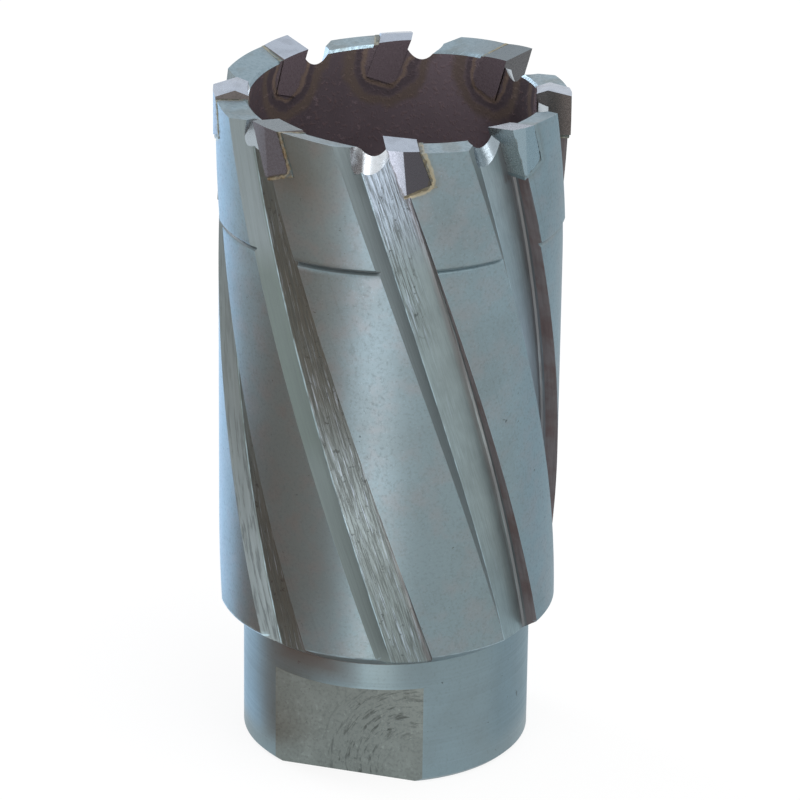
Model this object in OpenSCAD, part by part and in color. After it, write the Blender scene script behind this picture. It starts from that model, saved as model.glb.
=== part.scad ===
// Tipped annular cutter standing on its threaded shank, teeth up.
// One steel body with eight left-hand flutes, eight hard-metal tips and the braze that holds them.
// Frame: origin at the centre of the shank end, +Z along the axis towards the teeth, millimetres.

/* [Shank] */
// Diameter of the round shank
shank_d = 29; // [27.5:0.5:30]
// Height of the shank below the shoulder cone
shank_h = 13.3; // [12:0.1:15]
// Distance across the two wrench flats
flat_across = 24.5; // [23:0.5:26]
// Height of the wrench flats above the shank end
flat_h = 10.5; // [7:0.5:11.5]
// Direction of the first wrench flat around the axis
flat_turn = -107; // [-180:1:180]
// Bevel on the shank end
shank_bevel = 0.4; // [0.2:0.1:1]
// Core diameter of the shank thread
thread_d = 16.4; // [14:0.1:18]
// Depth of the threaded bore
thread_depth = 12; // [9:0.5:13]
// Lead-in bevel of the threaded bore
thread_bevel = 0.8; // [0.4:0.1:1.2]
// Diameter of the pilot pin hole
pilot_d = 8; // [6:0.1:10]

/* [Body] */
// Diameter of the fluted body
body_d = 34; // [30:0.5:40]
// Height of the cone between shank and body
shoulder_h = 1.5; // [1:0.1:2]
// Bevel on the lower edge of the body
shoulder_bevel = 0.35; // [0.2:0.05:0.6]
// Width of the groove that parts body and head
groove_w = 0.5; // [0.3:0.1:0.8]
// Depth of the groove below the body surface
groove_depth = 0.25; // [0.15:0.05:0.4]
// Height of the head above the groove, up to the cutting edge
head_h = 13.05; // [10:0.05:18]
// Step of the head outside the body surface
head_step = 0.25; // [0.1:0.05:0.5]
// Wall between the body surface and the core bore
wall_t = 2.7; // [2.3:0.1:3.5]
// Height of the core bore floor
bore_floor_z = 18; // [17:0.5:22]
// Bevel between the core bore and its floor
floor_bevel = 1; // [0.4:0.1:2]
// Bevel on the inner edge of the rim
rim_bevel = 0.25; // [0.1:0.05:0.4]

/* [Flutes] */
// Axial length of one full turn of a flute
flute_lead = 310; // [280:5:360]
// Width of a flute at the body surface, in degrees
flute_angle = 19; // [17:0.5:20]
// Width of the sloped heel wall, in degrees
heel_angle = 4.3; // [3:0.1:6]
// Depth of a flute at the foot of the heel wall
heel_depth = 1.4; // [1:0.05:1.7]
// Depth of a flute at the foot of the rake wall
rake_depth = 1.75; // [1.4:0.05:1.9]
// Undercut of the rake wall, in degrees around the axis
undercut_angle = 0.5; // [0:0.1:1]
// Fillet at the foot of the rake wall
flute_fillet = 0.5; // [0.2:0.05:0.7]

/* [Teeth] */
// Direction of the cutting edge of the first tooth
first_tooth = -91.5; // [-180:0.5:180]
// Share of the uneven spacing of the teeth, none gives equal spacing
uneven_pitch = 1; // [0:0.1:1.2]
// Height of the cutting edge at its ridge
ridge_z = 69.25; // [60:0.25:80]
// Drop of the steel tooth tops below the ridge, in the middle of a tooth
rim_drop = 1.1; // [0.7:0.05:1.8]
// Fall of the steel tooth tops towards the heel, in degrees
rim_relief = 3; // [0:0.5:6]
// Rise of the steel top of every second tooth, from the bore to the outside
rim_rise = 0.7; // [0:0.05:0.8]
// Radius of the rounded chip gullet ahead of each tip
gullet_r = 2; // [1.6:0.1:2.3]
// Drop of the gullet floor below the ridge, at the bore
gullet_drop = 2.4; // [2:0.05:3]
// Turn of the gullet ahead of the cutting edge, in degrees
gullet_turn = 5.5; // [4:0.1:7]
// Slope of the gullet floor, outward and down
gullet_slope = 52; // [40:1:60]

/* [Tips] */
// Overhang of a tip outside the head
tip_out = 0.25; // [0.1:0.05:0.6]
// Overhang of a tip inside the core bore
tip_in = 0.2; // [0.1:0.05:0.5]
// Thickness of a tip along the cut
tip_t = 2.9; // [2.4:0.1:3.4]
// Height of a tip along its tilted front edge
tip_h = 4.9; // [4.2:0.1:5.6]
// Thickness of the braze behind and below a tip
braze_t = 0.4; // [0.2:0.05:0.6]
// Lead of the inner end of the cutting edge, in degrees
tip_rake = 5; // [0:0.5:8]
// Step of a tip ahead of the flute wall, in degrees around the axis
tip_step = 2.2; // [1.6:0.1:2.6]
// Distance of the ridge from the inner end of the cutting edge
ridge_in = 1.1; // [0.6:0.1:2]
// Fall of the cutting edge from the ridge to its inner end
fall_in = 0.4; // [0.1:0.05:0.6]
// Fall of the cutting edge from the ridge to its outer end
fall_out = 0.6; // [0.2:0.05:0.8]
// Fall of every second tip, from its outer corner straight to its inner end
slope_in = 0.6; // [0.3:0.05:0.8]
// Clearance angle of the tip tops
tip_relief = 5; // [2:0.5:8]

/* [Hidden] */
$fn = 180;
tooth_shift = [0, -1.7, -3.5, -5, -4.3, -5.5, -0.8, -2.2];
shank_r = shank_d / 2;
body_r = body_d / 2;
head_d = body_d + 2 * head_step;
head_r = head_d / 2;
bore_d = body_d - 2 * wall_t;
bore_r = bore_d / 2;
cut_d = head_d + 2 * tip_out;
cut_r = cut_d / 2;
core_d = bore_d - 2 * tip_in;
core_r = core_d / 2;
ridge_r = core_r + ridge_in;
tip_w = cut_r - core_r;
rim_z = ridge_z - rim_drop;
rim_slope = atan(rim_rise / (head_r - bore_r));
gullet_z = ridge_z - gullet_drop;
groove_z = ridge_z - head_h - groove_w;
tooth_w = 2 * bore_r * sin(22.6);
past = 1;
shoulder_z = shank_h + shoulder_h;
twist_rate = 360 / flute_lead;
tilt = atan(twist_rate * PI / 180 * cut_r);
edge_z = ridge_z - fall_out;
blank_z = ridge_z - 0.2 * past;
flute_z0 = shank_h - 0.8 * past;
flute_h = ridge_z + 2 * past - flute_z0;
flute_slices = 44;

// Every second tooth is ground sloping inward, the others to a ridge.
function sloped(i) = i % 2 == 1;

// Direction of the cutting edge of tooth i.
function tooth_angle(i) = first_tooth + 45 * i + uneven_pitch * tooth_shift[i];

// Point at radius r and angle a.
function polar(r, a) = [r * cos(a), r * sin(a)];

// Point on the line from q through p, beyond p by the given share of its length.
function beyond(p, q, share) = p + (p - q) * share;

// Cross-section of one flute, its rake wall meeting the body surface at angle 0.
module flute_section() {
  foot_r = body_r - rake_depth;
  fillet_a = asin(flute_fillet / foot_r);
  heel_foot = polar(body_r - heel_depth, -flute_angle + heel_angle);
  wall_foot = polar(foot_r + flute_fillet, undercut_angle * (1 - flute_fillet / rake_depth));
  polygon([
    beyond(polar(body_r, -flute_angle), heel_foot, 1.3),
    heel_foot,
    polar(foot_r, undercut_angle - fillet_a),
    polar(foot_r + 0.13 * flute_fillet, undercut_angle - 0.5 * fillet_a),
    polar(foot_r + 0.5 * flute_fillet, undercut_angle - 0.13 * fillet_a),
    wall_foot,
    beyond(polar(body_r, 0), wall_foot, 1.8)
  ]);
}

// One helical flute, running out through the shoulder cone.
module flute(i) {
  rotate([0, 0, tooth_angle(i) + tip_step + (edge_z - flute_z0) * twist_rate])
    translate([0, 0, flute_z0])
      linear_extrude(height = flute_h, twist = flute_h * twist_rate, slices = flute_slices, $fn = 10)
        flute_section();
}

// Rounded scoop that clears chips ahead of the tip of tooth i.
module gullet(i) {
  rotate([0, 0, tooth_angle(i) - gullet_turn])
    translate([bore_r + gullet_r * sin(gullet_slope), 0, gullet_z + gullet_r * cos(gullet_slope)])
      rotate([0, 90 + gullet_slope, 0])
        translate([0, 0, -4 * gullet_r])
          cylinder(r = gullet_r, h = 7 * gullet_r, $fn = 48);
}

// Space above the sloping steel top of tooth i.
module above_rim(i) {
  rotate([0, 0, tooth_angle(i) + 18])
    translate([bore_r, 0, rim_z])
      rotate([-rim_relief, sloped(i) ? -rim_slope : 0, 0])
        translate([-wall_t, -tooth_w / 2, 0])
          cube([4 * wall_t, tooth_w, rim_drop + tip_h]);
}

// Places a child in the tilted frame of tip i: front face at y 0, top outer corner at z 0.
module at_tip(i) {
  rotate([0, 0, tooth_angle(i)])
    translate([cut_r, 0, edge_z])
      rotate([0, 0, tip_rake])
        rotate([tilt, 0, 0])
          children();
}

// Tilted block of the given thickness that reaches through the wall, from a depth up to a top.
module tip_block(t, depth, top) {
  translate([-tip_w - 2 * past, 0, -depth])
    cube([tip_w + 4 * past, t, depth + top]);
}

// Ring of the head wall between two radii.
module wall_ring(r0, r1) {
  translate([0, 0, groove_z])
    difference() {
      cylinder(r = r1, h = head_h + tip_h);
      translate([0, 0, -past])
        cylinder(r = r0, h = head_h + tip_h + 2 * past);
    }
}

// Line of the ground top of a ridged tip, from inside to outside.
function ridged_line() = [
  [core_r - past, -fall_in * (ridge_in + past) / ridge_in],
  [ridge_r, 0],
  [cut_r + past, -fall_out * (cut_r + past - ridge_r) / (cut_r - ridge_r)]
];

// Line of the ground top of a sloped tip, from inside to outside.
function sloped_line() = [
  [core_r - past, -slope_in * (tip_w + past) / tip_w],
  [cut_r + past, slope_in * past / tip_w]
];

// Space below the ground top of tip i, falling back by the clearance angle.
module tip_roof(i) {
  rotate([0, 0, tooth_angle(i)])
    translate([0, 0, ridge_z])
      rotate([90 - tip_relief, 0, 0])
        translate([0, 0, -3 * tip_t])
          linear_extrude(height = 5 * tip_t)
            polygon(concat(
              [[core_r - past, -2 * tip_h]],
              sloped(i) ? sloped_line() : ridged_line(),
              [[cut_r + past, -2 * tip_h]]
            ));
}

// Turned blank: shank, shoulder cone, body, groove and head with its bores.
module blank() {
  rotate_extrude()
    polygon([
      [thread_d / 2 + thread_bevel, 0],
      [shank_r - shank_bevel, 0],
      [shank_r, shank_bevel],
      [shank_r, shank_h],
      [body_r - shoulder_bevel, shoulder_z],
      [body_r, shoulder_z + shoulder_bevel],
      [body_r, groove_z],
      [body_r - groove_depth, groove_z],
      [body_r - groove_depth, groove_z + groove_w],
      [head_r, groove_z + groove_w],
      [head_r, blank_z],
      [bore_r, blank_z],
      [bore_r, bore_floor_z + floor_bevel],
      [bore_r - floor_bevel, bore_floor_z],
      [pilot_d / 2, bore_floor_z],
      [pilot_d / 2, thread_depth],
      [thread_d / 2, thread_depth],
      [thread_d / 2, thread_bevel]
    ]);
}

// The two parallel wrench flats on the shank.
module wrench_flats() {
  for (side = [0, 180])
    rotate([0, 0, flat_turn + side])
      translate([flat_across / 2, -shank_r, -past])
        cube([shank_r, shank_d, flat_h + past]);
}

module cutter_body() {
  color([0.46, 0.52, 0.55])
    difference() {
      blank();
      wrench_flats();
      translate([0, 0, rim_z - rim_bevel])
        cylinder(r1 = bore_r - 0.1 * past, r2 = bore_r + rim_bevel + 0.9 * past, h = rim_bevel + past);
      for (i = [0:7]) {
        flute(i);
        gullet(i);
        above_rim(i);
        at_tip(i)
          tip_block(tip_t + braze_t, tip_h + braze_t, 3 * past);
      }
    }
}

module carbide_tip(i) {
  color([0.3, 0.31, 0.34])
    intersection() {
      at_tip(i)
        tip_block(tip_t, tip_h, 3 * past);
      tip_roof(i);
      wall_ring(core_r, cut_r);
    }
}

module braze_seam(i) {
  color([0.66, 0.5, 0.26])
    difference() {
      intersection() {
        at_tip(i)
          tip_block(tip_t + braze_t, tip_h + braze_t, 2 * past);
        wall_ring(bore_r, head_r);
      }
      at_tip(i)
        translate([0, -past, 0])
          tip_block(tip_t + past, tip_h, 4 * past);
      above_rim(i);
    }
}

module carbide_tip_1() { carbide_tip(0); }
module carbide_tip_2() { carbide_tip(1); }
module carbide_tip_3() { carbide_tip(2); }
module carbide_tip_4() { carbide_tip(3); }
module carbide_tip_5() { carbide_tip(4); }
module carbide_tip_6() { carbide_tip(5); }
module carbide_tip_7() { carbide_tip(6); }
module carbide_tip_8() { carbide_tip(7); }
module braze_seam_1() { braze_seam(0); }
module braze_seam_2() { braze_seam(1); }
module braze_seam_3() { braze_seam(2); }
module braze_seam_4() { braze_seam(3); }
module braze_seam_5() { braze_seam(4); }
module braze_seam_6() { braze_seam(5); }
module braze_seam_7() { braze_seam(6); }
module braze_seam_8() { braze_seam(7); }

cutter_body();
carbide_tip_1();
carbide_tip_2();
carbide_tip_3();
carbide_tip_4();
carbide_tip_5();
carbide_tip_6();
carbide_tip_7();
carbide_tip_8();
braze_seam_1();
braze_seam_2();
braze_seam_3();
braze_seam_4();
braze_seam_5();
braze_seam_6();
braze_seam_7();
braze_seam_8();
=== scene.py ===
"""Annular cutter with brazed hard-metal tips: fluted body, tips, braze beads and the studio stage."""

import math

import bmesh
import bpy
from bpy.props import FloatProperty, FloatVectorProperty, PointerProperty
from mathutils import Matrix, Vector


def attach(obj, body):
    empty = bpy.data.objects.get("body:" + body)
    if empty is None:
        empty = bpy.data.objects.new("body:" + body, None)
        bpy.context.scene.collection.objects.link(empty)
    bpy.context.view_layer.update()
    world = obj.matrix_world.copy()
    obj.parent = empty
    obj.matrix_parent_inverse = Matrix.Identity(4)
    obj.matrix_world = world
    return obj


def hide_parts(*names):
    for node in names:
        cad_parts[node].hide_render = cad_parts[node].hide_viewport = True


bl_info = {
    "name": "Annular cutter",
    "version": (1, 0, 0),
    "blender": (4, 5, 0),
    "location": "3D View > Sidebar > Cutter",
    "description": "Builds a tipped annular cutter standing on its threaded shank, with its studio stage",
    "category": "Add Mesh",
}

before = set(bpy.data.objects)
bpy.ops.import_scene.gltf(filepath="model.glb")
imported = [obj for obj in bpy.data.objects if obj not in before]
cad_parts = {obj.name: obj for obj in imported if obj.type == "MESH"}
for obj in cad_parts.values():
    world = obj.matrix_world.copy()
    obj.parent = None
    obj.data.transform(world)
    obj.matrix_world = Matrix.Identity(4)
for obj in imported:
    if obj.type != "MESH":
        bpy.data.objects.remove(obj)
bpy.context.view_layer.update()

MM = 0.001
TEETH = 8
# The tables that follow have one value for each tooth, or for the flute ahead of it, from the front
# tooth round to the right.
# Degrees that a tooth lies off even spacing.
TOOTH_SHIFT = (0.0, -1.7, -3.5, -5.0, -4.3, -5.5, -0.8, -2.2)
# Look of the tip: 1 is ground bright with a painted lighter front face, 0 is sintered, -1 is dull and
# scorched.
TOOTH_BRIGHT = (0.0, 1.0, 0.2, -1.0, 0.2, 0.3, 0.2, -1.0)
# Painted shade on the chip gullet of each tooth, from 0 to 1.
GULLET_SHADE = (0.0, 0.8, 0.4, 0.4, 0.4, 0.4, 0.4, 0.65)
# Value low in the flute, value high in the flute, and the height in millimetres where they meet.
FLUTE_STREAKS = (
    (0.12, 1.0, 50), (0.1, 0.1, 40), (0.6, 0.4, 40), (0.5, 0.5, 40),
    (0.5, 0.4, 40), (0.4, 0.6, 40), (0.7, 0.3, 34), (0.75, 0.6, 44),
)
# Below 0 the flute gets a painted highlight, above 0 it is tarnished.
FLUTE_TARNISH_AND_HIGHLIGHT = (
    (0.0, -0.9, 59), (-0.55, -0.2, 50), (0.2, 0.3, 40), (0.2, 0.2, 40),
    (0.2, 0.3, 40), (0.2, 0.2, 40), (0.8, 0.7, 40), (0.35, 0.95, 38),
)
# Shares of the flute's streaks and tarnish that reach its heel wall.
HEEL_STREAKS = (0.0, 0.0, 0.4, 0.4, 0.4, 0.4, 1.2, 0.1)
HEEL_TARNISH = (1.0, 1.0, 1.0, 1.0, 1.0, 1.0, 0.05, 1.0)
# Place across the flute floor where the stain and painted shade at the foot of the rake wall start.
FLUTE_STAIN_AND_SHADE = (0.87, 0.8, 0.8, 0.8, 0.8, 0.8, 0.6, 0.88)

# Degrees from the cutting edge of a tooth to the middle of its steel top.
TOOTH_MIDDLE = 18.0
# The piece of wall that tips and beads are cut from: its two directions, and its ends off the ridge.
SECTOR_START, SECTOR_END, SECTOR_BELOW, SECTOR_ABOVE = -18.0, 24.0, 9.0, 2.0
# Ground margin of a tip: its width at the outer corner, the line of its back, and the fall behind it.
MARGIN_W, MARGIN_LINE, MARGIN_FALL = 1.57, (0, 0.37, -4.3), 0.09
# Rounding of the tip edges that are sharper than an angle in degrees.
EDGE_ROUND, EDGE_ANGLE = 0.05, 25
# How far a braze bead stands proud of the bore and of the head, its ripple and its longest edge.
BEAD_IN, BEAD_OUT, BEAD_RIPPLE, BEAD_EDGE = 0.03, 0.04, 0.05, 0.35
# A body with fewer faces has lost its shape in a cut.
FEWEST_FACES = 1000

# Depth from the bore that counts as its skin, and an offset that is far from every tip.
SKIN, FAR_OFF = 0.3, 9.0
# Reach of the wear and painted highlight at the edges of the flutes, and of the painted highlight along the
# shoulder's edge.
FLUTE_WEAR_AND_HIGHLIGHT, SHOULDER_HIGHLIGHT = 0.3, 0.35
# Corner radius of the seam around a tip, radius of the stain on the bore and its middle below the edge.
SEAM_ROUND, TONGUE_R, TONGUE_DROP = 0.7, 1.95, 3.3
# Height over which the marks of a flute change from low to high.
MARK_FADE = 9.0
# A flute whose painted highlight is stronger than this has no streaks near its rake wall, below a height.
HIGHLIGHTED, HIGHLIGHT_TOP, HIGHLIGHT_FADE, HIGHLIGHT_START, HIGHLIGHT_WIDTH = -0.5, 62.0, 6.0, 0.35, 0.3
# Height above which the heel walls are clean, and the height below it over which tarnish sets in.
HEEL_CLEAN, HEEL_FADE = 57.0, 5.5
# Further reach of the painted shade beside a tip, and the width of the edge of the stain and shade.
TIP_SHADE_REACH, STAIN_AND_SHADE_FADE = 0.13, 0.05
# The painted highlight along the shoulder's edge is at full strength to the left of this direction.
LIT_SHOULDER = -118.0
# Painted shade in the groove: the direction where it starts, its fade and its strongest share.
GROOVE_SHADE = (-86.0, 12.0, 0.75)
# Painted shadow on the shoulder cone and on the shank below the body's edge: where it starts, its fade, where
# it ends, its fade.
CONE_SHADE = (-70.0, 25.0, -170.0, 25.0)
SHANK_SHADE = (-98.0, 18.0, -146.0, 14.0)

# Photograph: width and focal length in pixels, fall and roll of the view in degrees.
PHOTO_WIDTH, PHOTO_FOCUS = 800.0, 4986.0
VIEW_FALL, VIEW_ROLL = 23.07, 0.73
# The point that the camera looks at and its distance from there, in metres.
VIEW_MIDDLE, VIEW_AWAY = (0.00112, 0, 0.03567), 0.499
# Width of the camera's sensor in millimetres.
SENSOR = 36.0

# Light of the surround on the part, glow of the floor to the eye, and the floor's own shade.
SURROUND_LIGHT, FLOOR_GLOW, FLOOR_SHADE = 0.75, 0.86, 0.9
# Radius of the side that the cards lie before, their height above the floor and their columns.
CARD_SIDE, CARD_HEIGHT, CARD_STEPS = 16.0, 0.4, 25
# Cards on the floor: tone, strength, first and last angle, nearest and furthest distance in millimetres.
CARD_NEAR, CARD_FAR = 2.0, 600.0
CARDS = {
    "brown_card": ((1.0, 0.47, 0.24), 0.26, -60.0, -37.0, 27.0, 112.0),
    "umber_card": ((1.0, 0.52, 0.3), 0.31, -37.0, -14.0, 27.0, 112.0),
    "shank_card": ((1.0, 0.6, 0.4), 0.36, -60.0, -30.0, CARD_NEAR, 26.0),
    "amber_card": ((1.0, 0.56, 0.32), 0.4, -46.0, -26.0, 113.0, CARD_FAR),
    "tan_card": ((1.0, 0.66, 0.46), 0.76, -26.0, -14.0, 113.0, CARD_FAR),
    "white_card": ((1.06, 0.99, 1.0), 2.85, -11.0, 2.0, 75.0, CARD_FAR),
    "pale_card": ((1.03, 0.95, 0.9), 2.1, -11.0, 2.0, 32.0, 74.0),
    "glint_card": ((1.0, 0.97, 0.92), 2.8, -11.0, 3.0, 16.0, 31.0),
    "dusk_card": ((1.0, 0.93, 0.86), 0.7, 3.0, 17.0, 32.0, 74.0),
    "warm_card": ((1.0, 0.94, 0.87), 0.87, 18.0, 50.0, 24.0, 74.0),
    "cream_card": ((1.05, 0.95, 0.88), 1.06, 3.0, 28.0, 75.0, 140.0),
    "cool_card": ((0.6, 0.8, 1.06), 2.1, -90.0, -63.0, 32.0, CARD_FAR),
    "blue_card": ((0.62, 0.8, 1.0), 1.5, -90.0, -63.0, CARD_NEAR, 31.0),
    "side_card": ((0.86, 0.98, 1.06), 0.82, 50.0, 90.0, CARD_NEAR, CARD_FAR),
}
# Lamps: place and aim in metres, size, power and tone.
LAMPS = {
    "left lamp": ((-0.35, 0.3, 0.3), (0, 0, 0.035), 0.2, 1.2, (0.86, 0.9, 1.0)),
    "top lamp": ((0.15, -0.15, 0.6), (0, 0, 0.04), 0.4, 2.0, (1.0, 1.0, 1.0)),
}
# Zones of the body, in the order of their finishes.
LAND, HEEL, FLOOR, RAKE, RIM, BORE, SHANK, THREAD = range(8)


def length(name, about, value, low=0.0, high=0.2):
    """A length property given in millimetres."""
    return FloatProperty(
        name=name, description=about, default=value * MM, min=low, max=high, subtype="DISTANCE", precision=5
    )


def angle(name, about, degrees):
    """An angle property given in degrees."""
    return FloatProperty(name=name, description=about, default=math.radians(degrees), subtype="ANGLE")


def colour(name, about, value):
    """A colour property in linear red, green and blue."""
    return FloatVectorProperty(
        name=name, description=about, default=value, size=3, min=0.0, max=1.0, subtype="COLOR"
    )


class CutterSizes(bpy.types.PropertyGroup):
    """Sizes of the cutter, the same as those of its solids."""

    body_d: length("Body diameter", "Diameter of the fluted body", 34)
    head_step: length("Head step", "Step of the head outside the body surface", 0.25)
    wall_t: length("Wall", "Wall between the body surface and the core bore", 2.7)
    bore_floor_z: length("Bore floor", "Height of the core bore floor", 18)
    shank_d: length("Shank diameter", "Diameter of the round shank", 29)
    shank_h: length("Shank height", "Height of the shank below the shoulder cone", 13.3)
    shoulder_h: length("Shoulder cone", "Height of the cone between shank and body", 1.5)
    shoulder_bevel: length("Shoulder bevel", "Bevel on the lower edge of the body", 0.35)
    flat_across: length("Across flats", "Distance across the two wrench flats", 24.5)
    flat_h: length("Flat height", "Height of the wrench flats above the shank end", 10.5)
    flat_turn: angle("Flat turn", "Direction of the first wrench flat around the axis", -107)
    thread_d: length("Thread core", "Core diameter of the shank thread", 16.4)
    thread_cut: length("Thread cut", "Depth of the thread grooves", 0.8)
    thread_pitch: length("Thread pitch", "Pitch of the shank thread", 1.5)
    thread_depth: length("Thread depth", "Depth of the threaded bore", 12)
    pilot_d: length("Pilot hole", "Diameter of the pilot pin hole", 8)
    head_h: length("Head height", "Height of the head above the groove, up to the cutting edge", 13.05)
    groove_w: length("Groove width", "Width of the groove that parts body and head", 0.5)
    groove_depth: length("Groove depth", "Depth of the groove below the body surface", 0.25)
    lead: length("Flute lead", "Axial length of one full turn of a flute", 310, high=1.0)
    flute_angle: angle("Flute width", "Width of a flute at the body surface", 19)
    heel_angle: angle("Heel width", "Width of the sloped heel wall", 4.3)
    heel_depth: length("Heel depth", "Depth of a flute at the foot of the heel wall", 1.4)
    rake_depth: length("Rake depth", "Depth of a flute at the foot of the rake wall", 1.75)
    undercut: angle("Undercut", "Undercut of the rake wall", 0.5)
    flute_fillet: length("Flute fillet", "Fillet at the foot of the rake wall", 0.5)
    first_tooth: angle("First tooth", "Direction of the cutting edge of the first tooth", -91.5)
    uneven: FloatProperty(
        name="Uneven spacing", description="Share of the uneven spacing of the teeth",
        default=1.0, min=0.0, max=1.2,
    )
    ridge_z: length("Ridge height", "Height of the cutting edge at its ridge", 69.25)
    rim_drop: length("Rim drop", "Drop of the steel tooth tops below the ridge", 1.1)
    rim_relief: angle("Rim relief", "Fall of the steel tooth tops towards the heel", 3)
    rim_rise: length("Rim rise", "Rise of the steel top of every second tooth to the outside", 0.7)
    rim_bevel: length("Rim bevel", "Bevel on the inner edge of the rim", 0.25)
    gullet_r: length("Gullet radius", "Radius of the rounded chip gullet ahead of each tip", 2)
    gullet_drop: length("Gullet drop", "Drop of the gullet floor below the ridge", 2.4)
    gullet_turn: angle("Gullet turn", "Turn of the gullet ahead of the cutting edge", 5.5)
    gullet_slope: angle("Gullet slope", "Slope of the gullet floor, outward and down", 52)
    tip_out: length("Tip overhang", "Overhang of a tip outside the head", 0.25)
    tip_in: length("Tip overhang inside", "Overhang of a tip inside the core bore", 0.2)
    tip_t: length("Tip thickness", "Thickness of a tip along the cut", 2.9)
    tip_h: length("Tip height", "Height of a tip along its tilted front edge", 4.9)
    braze_t: length("Braze", "Thickness of the braze behind and below a tip", 0.4)
    tip_rake: angle("Tip rake", "Lead of the inner end of the cutting edge", 5)
    tip_step: angle("Tip step", "Step of a tip ahead of the flute wall", 2.2)
    ridge_in: length("Ridge place", "Distance of the ridge from the inner end of the edge", 1.1)
    fall_in: length("Inner fall", "Fall of the cutting edge from the ridge to its inner end", 0.4)
    fall_out: length("Outer fall", "Fall of the cutting edge from the ridge to its outer end", 0.6)
    slope_in: length("Slope fall", "Fall of every second tip from its outer corner to its inner end", 0.6)
    tip_relief: angle("Tip clearance", "Clearance angle of the tip tops", 5)


class CutterColours(bpy.types.PropertyGroup):
    """Colours of the cutter's finishes and of its stage."""

    land: colour("Land", "Satin steel of the lands and the head", (0.2, 0.275, 0.308))
    land_bloom: colour("Land bloom", "Warmer patches on the lands and the head", (0.25, 0.252, 0.266))
    land_dark: colour("Land tarnish", "Tarnished patches on the lands", (0.155, 0.195, 0.205))
    floor: colour("Flute floor", "Milled steel of the flute floors", (0.25, 0.32, 0.336))
    floor_dark: colour("Flute streaks", "Dark streaks of the flute floors", (0.075, 0.085, 0.08))
    heel: colour("Heel wall", "Steel of the sloped heel walls", (0.236, 0.284, 0.296))
    heel_dark: colour("Heel tarnish", "Greenish tarnish of some heel walls", (0.158, 0.2, 0.188))
    # The painted highlight high in some flutes; made brighter, it also colours the bright streaks.
    polish: colour("Flute polish", "Bright scraped steel at the top of a flute", (0.38, 0.47, 0.57))
    rake: colour("Rake wall", "Heat-stained steel of the rake walls", (0.195, 0.17, 0.175))
    rust: colour("Rust", "Reddish stain on walls and bore", (0.22, 0.125, 0.11))
    bore: colour("Bore skin", "Heat-tinted skin of the core bore", (0.175, 0.138, 0.158))
    halo: colour("Flux halo", "Brown stain that the brazing leaves", (0.165, 0.125, 0.1))
    tan: colour("Flux line", "Pale line around the tips on the bore", (0.26, 0.19, 0.15))
    rim: colour("Rim", "Ground steel tooth tops", (0.235, 0.315, 0.365))
    # Ground gullet steel, partly a painted highlight of the light from above.
    gullet: colour("Gullet", "Freshly ground chip gullets", (0.66, 0.7, 0.74))
    flat: colour("Wrench flat", "Milled steel of the wrench flats", (0.18, 0.208, 0.2))
    carbide: colour("Hard metal", "Sintered hard metal of the tips", (0.15, 0.134, 0.13))
    sinter: colour("Dull hard metal", "Dull margins of the tips", (0.055, 0.055, 0.066))
    ground: colour("Ground edge", "Ground facets of the tips", (0.37, 0.42, 0.5))
    braze: colour("Braze", "Golden braze", (0.22, 0.2, 0.14))
    studio: colour("Studio", "Floor and background", (1.0, 1.0, 1.0))


def millimetres(sizes):
    """The lengths of a size group in millimetres and its angles in degrees, by name."""
    table = {}
    for name, kind in sizes.bl_rna.properties.items():
        if kind.type != "FLOAT":
            continue
        value = getattr(sizes, name)
        if kind.subtype == "ANGLE":
            table[name] = math.degrees(value)
        elif kind.subtype == "DISTANCE":
            table[name] = value / MM
        else:
            table[name] = value
    return table


class Shape:
    """Radii, heights and directions that follow from the sizes, in millimetres and degrees."""

    def __init__(self, sizes):
        self.__dict__.update(millimetres(sizes))
        self.body_r = self.body_d / 2
        self.shank_r = self.shank_d / 2
        self.head_r = self.body_r + self.head_step
        self.bore_r = self.body_r - self.wall_t
        self.cut_r = self.head_r + self.tip_out
        self.core_r = self.bore_r - self.tip_in
        self.ridge_r = self.core_r + self.ridge_in
        self.rim_z = self.ridge_z - self.rim_drop
        self.rim_slope = math.degrees(math.atan(self.rim_rise / (self.head_r - self.bore_r)))
        self.gullet_z = self.ridge_z - self.gullet_drop
        self.groove_z = self.ridge_z - self.head_h - self.groove_w
        self.edge_z = self.ridge_z - self.fall_out
        self.shoulder_z = self.shank_h + self.shoulder_h
        self.twist = 360.0 / self.lead
        self.tilt = math.degrees(math.atan(math.radians(self.twist) * self.cut_r))

    def tooth(self, i):
        """Direction of the cutting edge of tooth i, which may run on past the last tooth."""
        turns, k = divmod(i, TEETH)
        return self.first_tooth + 45.0 * k + self.uneven * TOOTH_SHIFT[k] + 360.0 * turns

    def nearest(self, a, past):
        """The tooth that lies nearest to direction a when its edge is taken an angle further on."""
        return min(range(TEETH), key=lambda i: abs(signed(a - self.tooth(i) - past)))

    def turn(self, z):
        """Turn of the flutes at height z."""
        return (self.edge_z - max(z, self.shank_h)) * self.twist

    def tip_matrix(self):
        """Frame of a tip at direction 0: front face at y 0, top outer corner at the origin."""
        place = Matrix.Translation((self.cut_r, 0, self.edge_z))
        rake = Matrix.Rotation(math.radians(self.tip_rake), 4, "Z")
        tilt = Matrix.Rotation(math.radians(self.tilt), 4, "X")
        return place @ rake @ tilt


def clamp(value, low=0.0, high=1.0):
    """A value kept between two limits."""
    return max(low, min(high, value))


def signed(a):
    """An angle in degrees brought between -180 and 180."""
    return (a + 180.0) % 360.0 - 180.0


def polar(r, a):
    """Point at radius r and angle a."""
    return Vector((r * math.cos(math.radians(a)), r * math.sin(math.radians(a))))


def meet(p, q, r):
    """Where the line from p through q meets the circle of radius r, beyond p."""
    d = q - p
    a = d.dot(d)
    b = p.dot(d)
    c = p.dot(p) - r * r
    return p + d * ((-b + math.sqrt(max(b * b - a * c, 0.0))) / a)


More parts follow.
